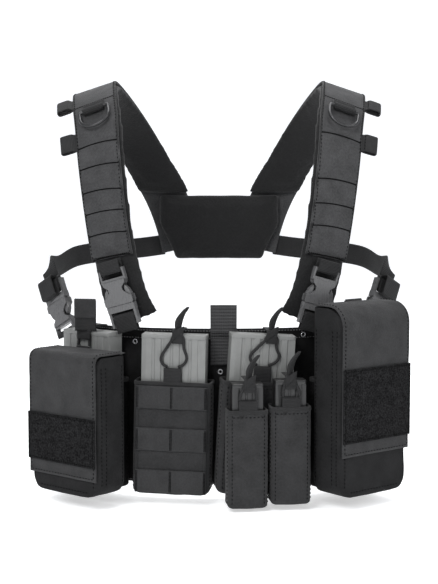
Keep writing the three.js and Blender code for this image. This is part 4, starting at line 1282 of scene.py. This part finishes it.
# ------------------------------------------------------------------ retainers
def make_retainer(
        name, matrix, body, foot, spread, lean, front, top, depth, style, turn=0.0, shift=0.0):
    """A shock cord in an upside-down V, pulled together by a webbing tab over the magazine."""
    y = front - gap - cord_size / 2
    apex = top - 3 * mm
    bend = 2.05 * cord_size
    centre = Vector((lean, y, apex - bend * 0.35))
    knee = foot + (apex - foot) * 0.5
    if apex - foot > 20 * mm:
        # a tall loop bows out from the fold of the tongue
        rise = [
            (-6 * mm, foot - 0.4 * mm), (2 * mm - spread, foot + 2.4 * mm), (-spread, foot + 9 * mm),
            (-spread * 0.72 + lean * 0.5, foot + (apex - foot) * 0.66),
        ]
    else:
        rise = [(1.5 * mm - spread, foot - 0.8 * mm), (-spread * 0.8 + lean * 0.45, knee)]
    left = [Vector((x, y, z)) for x, z in rise]
    right = []
    for p in left:
        share = max(min((p.z - foot) / (apex - foot), 0.66), 0)
        right.append(Vector((-p.x + 2 * lean * share * 0.75, y, p.z)))
    arch = []
    for i in range(11):
        a = math.pi * i / 10
        arch.append(centre + Vector((-math.cos(a), 0, math.sin(a))) * bend)
    rough = left + arch + right[::-1]
    guide = Route(rough, [(0, -1, 0)] * len(rough))
    count = 44
    line = [guide.at(guide.length * i / count)[0] for i in range(count + 1)]
    line = [matrix @ p for p in line]
    mesh = rod(f"{name}_cord", line, cord_size / 2, sides_round=3)
    cord = show(f"{name}_cord", mesh, shock_cord, body, "elastic", [name])
    length = sum((b - a).length for a, b in zip(line, line[1:]))
    tuple(line[0])
    [tuple(p) for p in line]

    over = top + retainer_clear + webbing_thickness / 2
    half = 10 * mm if style == "broad" else 6 * mm
    face = y - cord_size / 2 + 0.2 * mm
    corners = [
        (lean, face, apex - bend * 0.9), (lean, face - 0.4 * mm, apex + 1 * mm),
        (lean, face, over), (lean, front + depth, over),
    ]
    strap(
        f"{name}_band", smooth_line(corners, 2.5 * mm), (1, 0, 0), half * 2, 1.5 * mm, matrix,
        webbing, body, "elastic", (), 1.5 * mm, 10,
    )
    if style == "broad":
        tilt = matrix @ Matrix.Translation((lean + shift, face - 0.8 * mm, 0))
        tilt = tilt @ Matrix.Rotation(turn, 4, "Z")
        low, high, mid = top + 1 * mm, top + retainer_clear + 31 * mm, top + 15 * mm
        corners = [
            (0, 0.9 * mm, low), (0, 0.9 * mm, high - 1 * mm),
            (0, -0.9 * mm, high - 1 * mm), (0, -0.9 * mm, low),
        ]
        strap(
            f"{name}_tab", smooth_line(corners, 1 * mm), (1, 0, 0), 24 * mm, 1.5 * mm, tilt,
            webbing, body, "elastic", (), 1.3 * mm, 12,
        )
        # the upper half is wrapped once more
        corners = [
            (0, -2.2 * mm, mid), (0, -2.2 * mm, high - 0.4 * mm), (0, -0.4 * mm, high + 0.5 * mm),
        ]
        _, wrap, _ = strap(
            f"{name}_tab_wrap", smooth_line(corners, 1.6 * mm), (1, 0, 0), 24.6 * mm, 1.2 * mm, tilt,
            pouch_cloth, body, "elastic", (), 1.6 * mm, 12,
        )
        rows = sewn(wrap, (0.05, 0.08), (0.95, 0.08), 2.4 * mm)
        sew(f"{name}_thread", rows, body, "elastic")
        return
    # a finger of webbing folded on itself, turned a little to the front
    base = top + retainer_clear
    rise = [(0, -5), (-0.2, 3), (0.8, 11), (4.4, 18.5), (8.4, 23.6), (10.6, 26)]
    line = [Vector((lean + x * mm, face + 3.6 * mm, base + z * mm)) for x, z in rise]
    soft = Route(line, [(0, -1, 0)] * len(line))
    line = [soft.at(soft.length * i / 50)[0] for i in range(51)]

    def leaf(v):
        belly = 0.38 * math.sin(math.pi * min(v * 1.15, 1)) ** 2
        return 0.62 + belly - 0.35 * max(v - 0.86, 0) / 0.14

    _, place, _ = strap(
        f"{name}_finger", line, (0.86, 0.5, 0), 8.6 * mm, 3.4 * mm, matrix, webbing, body, "elastic",
        (), 1.1 * mm, 10, narrow=leaf, edge=1.6 * mm,
    )
    # the loose end lies across the foot of the finger
    corners = [
        (lean - 5.5 * mm, face - 0.9 * mm, base - 7 * mm),
        (lean + 0.5 * mm, face - 1.5 * mm, base - 1 * mm),
        (lean + 6.5 * mm, face + 0.4 * mm, base + 1 * mm),
    ]
    strap(
        f"{name}_collar", smooth_line(corners, 3 * mm), (0.1, 0.1, 1), 9 * mm, 1.3 * mm, matrix,
        webbing, body, "elastic", (), 1.4 * mm, 8,
    )
    rows = sewn(place, (0.1, 0.3), (0.9, 0.3), 2 * mm, 0.1 * mm)
    sew(f"{name}_thread", rows, body, "elastic", long=1.6 * mm, thick=0.6 * mm)


def tongue(name, matrix, width, y, low, high):
    """A webbing tongue from the front of a pouch, folded at the top to hold the cord."""
    corners = [
        (0, y - 0.8 * mm, low), (0, y - 0.8 * mm, high - 0.6 * mm),
        (0, y + 0.7 * mm, high - 0.6 * mm), (0, y + 0.7 * mm, high - 14 * mm),
    ]
    _, place, total = strap(
        name, smooth_line(corners, 0.9 * mm), (1, 0, 0), width, 1.35 * mm, matrix, webbing,
        "harness", "webbing", (), 1.4 * mm, 10,
    )
    v = (high - low - 6 * mm) / total
    rows = sewn(place, (0.06, v), (0.94, v), 2.4 * mm)
    sew(f"{name}_thread", rows, "harness", "webbing")


# ------------------------------------------------------------------ pouches
def frame_body(node):
    return nodes[node]["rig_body"]


def make_magazine(node, material, matrix, width, depth, back, top):
    ease_edges(node, material, 0.35 * mm, 2, 30)
    # the floor plate closes the magazine's upturned foot
    low, high = top - 4.2 * mm, top - 0.1 * mm
    bm = block(width + 1.0 * mm, depth + 0.7 * mm, high - low, back - depth / 2, (low + high) / 2)
    round_off(bm, upright_edges(bm, high - low), 2.4 * mm, 3)
    lid = [f for f in bm.faces if f.normal.z > 0.9]
    bmesh.ops.inset_region(bm, faces=lid, thickness=1.6 * mm, depth=0.5 * mm)
    lid = [f for f in bm.faces if f.normal.z > 0.9 and f.calc_area() > 1e-4]
    bmesh.ops.inset_region(bm, faces=lid, thickness=1.2 * mm, depth=-0.6 * mm)
    round_off(bm, [e for e in bm.edges if e.calc_face_angle(0) > 0.6], 0.3 * mm, 2)
    bmesh.ops.transform(bm, matrix=matrix, verts=bm.verts)
    body = frame_body(node)
    slot = "grey_polymer" if node.startswith("magazine") else "black_polymer"
    show(f"{node}_plate", to_mesh(bm, f"{node}_plate"), material, body, slot)


stacks = {
    1: dict(x=-outer_stack, tilt=0.0, lean=1, spread=10, foot=-287, style="broad", turn=0.45, shift=4),
    2: dict(x=-inner_stack, tilt=0.02, lean=5, spread=13, foot=-306, style="finger"),
    3: dict(x=inner_stack, tilt=0.06, lean=8, spread=14, foot=-304, style="finger"),
    4: dict(x=outer_stack, tilt=0.0, lean=-1, spread=10, foot=-287, style="broad", turn=0.0, shift=-4),
}


def make_mag_pouch(number, x, tilt, lean, spread, foot, style, turn=0, shift=0):
    matrix = stack_frame(x, tilt)
    foot = foot * mm
    node = f"mag_pouch_{number}"
    # pouches 1 and 4 take the darker copy of the nylon, which is painted shade
    sack = bag(
        f"{node}_cloth", node, matrix, pouch_width, pouch_depth, 0, pouch_bottom, pouch_mouth,
        1.7 * mm, outer_pouch_shaded_cloth if number in (1, 4) else pouch_cloth,
        belly=0.3 * mm, side_belly=0.8 * mm, creases=0.35 * mm,
    )
    hem(f"{node}_binding", matrix, pouch_width, pouch_depth, 0, pouch_mouth)
    tongue(
        f"{node}_tongue", matrix, tongue_width, -pouch_depth + 1.2 * mm,
        pouch_mouth - 12 * mm, foot - hinge_clear,
    )
    half, before = pouch_width / 2, -pouch_depth - 8 * mm
    low, high = pouch_bottom + 6 * mm, pouch_mouth - 5 * mm
    stitches = []
    for z in (pouch_mouth - 7 * mm, pouch_bottom + 7 * mm):
        x = half - 4 * mm
        stitches += seam_on(sack, matrix, (-x, before, z), (x, before, z))
    for x in (5.5 * mm - half, half - 5.5 * mm):
        stitches += seam_on(sack, matrix, (x, before, low), (x, before, high))
    depths = (-pouch_depth + 6 * mm, -6 * mm)
    stitches += side_seams(sack, matrix, half, depths, low, high)
    sew(f"{node}_thread", stitches, "harness", "cordura")
    make_magazine(
        f"magazine_{number}", magazine_grey, matrix, mag_width, mag_depth, mag_back, mag_top,
    )
    body = frame_body(f"retainer_{number}")
    make_retainer(
        f"retainer_{number}", matrix, body, foot, spread * mm, lean * mm,
        mag_back - mag_depth, mag_top,
        mag_depth + 2 * mm, style, turn, shift * mm,
    )
    return matrix


def front_of(place, facing):
    """place() with its outer side on the side that faces out, whichever way its line runs."""
    if (place(0.5, 0.5, 1) - place(0.5, 0.5, 0)).dot(facing) < 0:
        return lambda u, v, side: place(u, v, 1 - side)
    return place


def make_rows(matrix):
    """Three straps of webbing across the second pouch, tacked at both ends and in the middle."""
    y = -pouch_depth - 1.4 * mm - webbing_thickness / 2
    stitches = []
    for number in range(3):
        z = row_top - number * row_pitch - webbing_width / 2
        half = row_width / 2
        line = [Vector((-half + row_width * i / 40, y, z)) for i in range(41)]

        def swell(u, v):
            loose = abs(math.sin(2 * math.pi * v)) ** 0.6
            return -loose * 1.5 * mm + 0.7 * mm

        _, place, _ = strap(
            f"row_{number + 1}", line, (0, 0, 1), webbing_width, 1.5 * mm, matrix, row_webbing,
            "harness", "webbing", ["molle_rows"] if number == 0 else (), 1.6 * mm, 12, swell=swell,
        )
        face = front_of(place, outward(matrix, (0, -1, 0)))
        for v in (0.022, 0.5, 0.978):
            for shift in (-0.009, 0.009):
                stitches += sewn(face, (0.04, v + shift), (0.96, v + shift), 1.5 * mm)
    sew("row_tacks", stitches, "harness", "webbing", long=1.5 * mm)
    # the backing strips that carry the rows
    low = row_top - 2 * row_pitch - webbing_width
    y = -pouch_depth - 0.9 * mm
    for number, x in enumerate((-row_width / 2 + 1.5 * mm, row_width / 2 - 1.5 * mm)):
        line = [Vector((x, y, low + (row_top - low) * i / 30)) for i in range(31)]
        strap(
            f"row_backing_{number + 1}", line, (1, 0, 0), 3 * mm, 0.9 * mm, matrix, hem_cloth,
            "harness", "webbing", (), 3 * mm, 4,
        )


def make_pistol_pouch(index, side):
    shift = Matrix.Translation((side * pistol_spacing / 2, 0, side * 1.5 * mm))
    matrix = stack_frame(inner_stack + 0.5 * mm) @ shift
    back = -pouch_depth - 2.2 * mm
    node = f"pistol_pouch_{index}"
    sack = bag(
        f"{node}_cloth", node, matrix, pistol_width, pistol_depth, back, pistol_bottom,
        pistol_mouth, 1.6 * mm, pouch_cloth,
        corner=4 * mm, belly=1.2 * mm, side_belly=0.4 * mm, foot_round=3 * mm, creases=0.9 * mm,
    )
    hem(f"{node}_binding", matrix, pistol_width, pistol_depth, back, pistol_mouth, 4 * mm)
    front = back - pistol_depth
    foot = pistol_mag_top - 16 * mm
    tongue(
        f"{node}_tongue", matrix, 20 * mm, front + 1.2 * mm, pistol_mouth - 10 * mm,
        foot - hinge_clear,
    )
    half, before, low = pistol_width / 2, front - 8 * mm, pistol_bottom + 5 * mm
    stitches = []
    for x in (-half + 4.2 * mm, half - 4.2 * mm):
        high = pistol_mouth - 4 * mm
        stitches += seam_on(sack, matrix, (x, before, low), (x, before, high))
    x, z = half - 4 * mm, pistol_mouth - 7 * mm
    stitches += seam_on(sack, matrix, (-x, before, z), (x, before, z))
    high = pistol_mouth - 5 * mm
    stitches += side_seams(sack, matrix, half, [front + 5 * mm], low, high)
    sew(f"{node}_thread", stitches, "harness", "cordura")
    mag_front = back - pistol_wall - 1.5 * mm
    make_magazine(
        f"pistol_magazine_{index}", magazine_black, matrix, 33 * mm, pistol_mag_depth, mag_front,
        pistol_mag_top,
    )
    make_retainer(
        f"pistol_retainer_{index}", matrix, frame_body(f"pistol_retainer_{index}"), foot,
        10.5 * mm, (1.5 if index == 1 else -1) * mm, mag_front - pistol_mag_depth,
        pistol_mag_top, pistol_mag_depth + 1 * mm, "finger",
    )


def make_flap_pouch(name, side):
    matrix = stack_frame(side * outer_stack) @ Matrix.Translation((-side * flap_shift, 0, 0))
    top = flap_tops[name]
    back = -pouch_depth - 2.4 * mm
    front = back - flap_pouch_depth
    r = flap_rounds[name]
    half = flap_width / 2
    node = f"flap_pouch_{name}"
    # the flap pouch's bag takes the darker copy of the nylon, which is painted shade
    sack = bag(
        f"{node}_cloth", node, matrix, flap_width, flap_pouch_depth, back, flap_pouch_bottom, top,
        1.7 * mm, shaded_cloth, corner=6 * mm, side_belly=0.9 * mm, foot_round=17 * mm,
        creases=1.2 * mm, front_round=r,
    )
    before = front - 8 * mm
    depths = (front + 6.5 * mm, front + 13 * mm, back - 7 * mm)
    low, high = flap_pouch_bottom + 14 * mm, top - r - 3 * mm
    stitches = side_seams(sack, matrix, half, depths, low, high)
    for x in (6 * mm - half, half - 6 * mm):
        low = flap_pouch_bottom + 12 * mm
        stitches += seam_on(sack, matrix, (x, before, low), (x, before, top - r))
    x, z = half - 14 * mm, flap_pouch_bottom + 7 * mm
    stitches += seam_on(sack, matrix, (-x, before, z), (x, before, z))
    sew(f"{node}_thread", stitches, "harness", "cordura")

    # the flap: one sheet over the top and down the front
    c, th, end = 0.8 * mm, flap_thickness, flap_ends[name]
    body = f"flap_{name}_body"
    reach = r + c + th / 2
    rear = back - 1.2 * mm
    line = [Vector((0, rear - (rear - front - r) * i / 10, top + c + th / 2)) for i in range(11)]
    for i in range(1, 9):
        a = math.pi / 2 * i / 9
        line.append(Vector((0, front + r - reach * math.sin(a), top - r + reach * math.cos(a))))
    drop = top - r - end
    line += [Vector((0, front - c - th / 2, top - r - drop * i / 40)) for i in range(41)]

    def slack(u, v):
        """The sheet is a little loose between its stiff edges and lifts at its lower end."""
        middle = math.sin(math.pi * u) ** 0.6
        wave = rumple(Vector((u * 0.1, 0, v * 0.16)), 34 * mm, 0.9 * mm)
        return -(0.5 * mm * middle + max(wave, -0.4 * mm)) * min(v * 4, 1)

    sheet, place, total = strap(
        f"flap_{name}_sheet", line, (1, 0, 0), flap_width, th * 0.85, matrix, flap_cloth, body,
        "cordura", [f"flap_{name}"], 2.6 * mm, 34, swell=slack, edge=1.6 * mm,
    )
    facing = outward(matrix, (0, -1, 0))
    face = front_of(place, facing)
    inset = 3.2 * mm
    u, v = inset / flap_width, inset / total
    rows = sewn(face, (u, 0.02), (u, 1 - v)) + sewn(face, (1 - u, 0.02), (1 - u, 1 - v))
    rows += sewn(face, (u, 1 - v), (1 - u, 1 - v))

    # the loop pile band
    width = flap_width + 0.6 * mm
    y = front - c - th - 0.85 * mm
    high, low = band_tops[name], band_tops[name] - band_heights[name]
    line = [Vector((0, y, high - (high - low) * i / 60)) for i in range(61)]

    def nap(u, v):
        return rumple(Vector((u * width, v * 60 * mm, 0)), 2.2 * mm, 0.2 * mm)

    _, under, tall = strap(
        f"flap_band_{name}", line, (1, 0, 0), width, 1.5 * mm, matrix, pile, body, "cordura",
        (), 1.1 * mm, 90, swell=nap, edge=0.8 * mm, soft=0.05 * mm,
    )
    rim = front_of(under, facing)
    for v in (2.2 * mm / tall, 1 - 2.2 * mm / tall):
        rows += sewn(rim, (0.025, v), (0.975, v), 2.8 * mm)
    for u in (0.025, 0.975):
        rows += sewn(rim, (u, 0.03), (u, 0.97), 2.8 * mm)
    sew(f"flap_{name}_thread", rows, body, "cordura")


# ------------------------------------------------------------------ assembly
set_camera()
set_lights()
set_stage()
frames = {number: make_mag_pouch(number, **facts) for number, facts in stacks.items()}
make_rows(frames[2])
make_pistol_pouch(1, -1)
make_pistol_pouch(2, 1)
for name, side in sides.items():
    make_flap_pouch(name, side)
    route, cover_start = make_strap(name, side)
    make_shoulder_buckle(name, route, cover_start)
    make_side_buckle(name, side)
make_panel()
make_yoke()
make_tab()
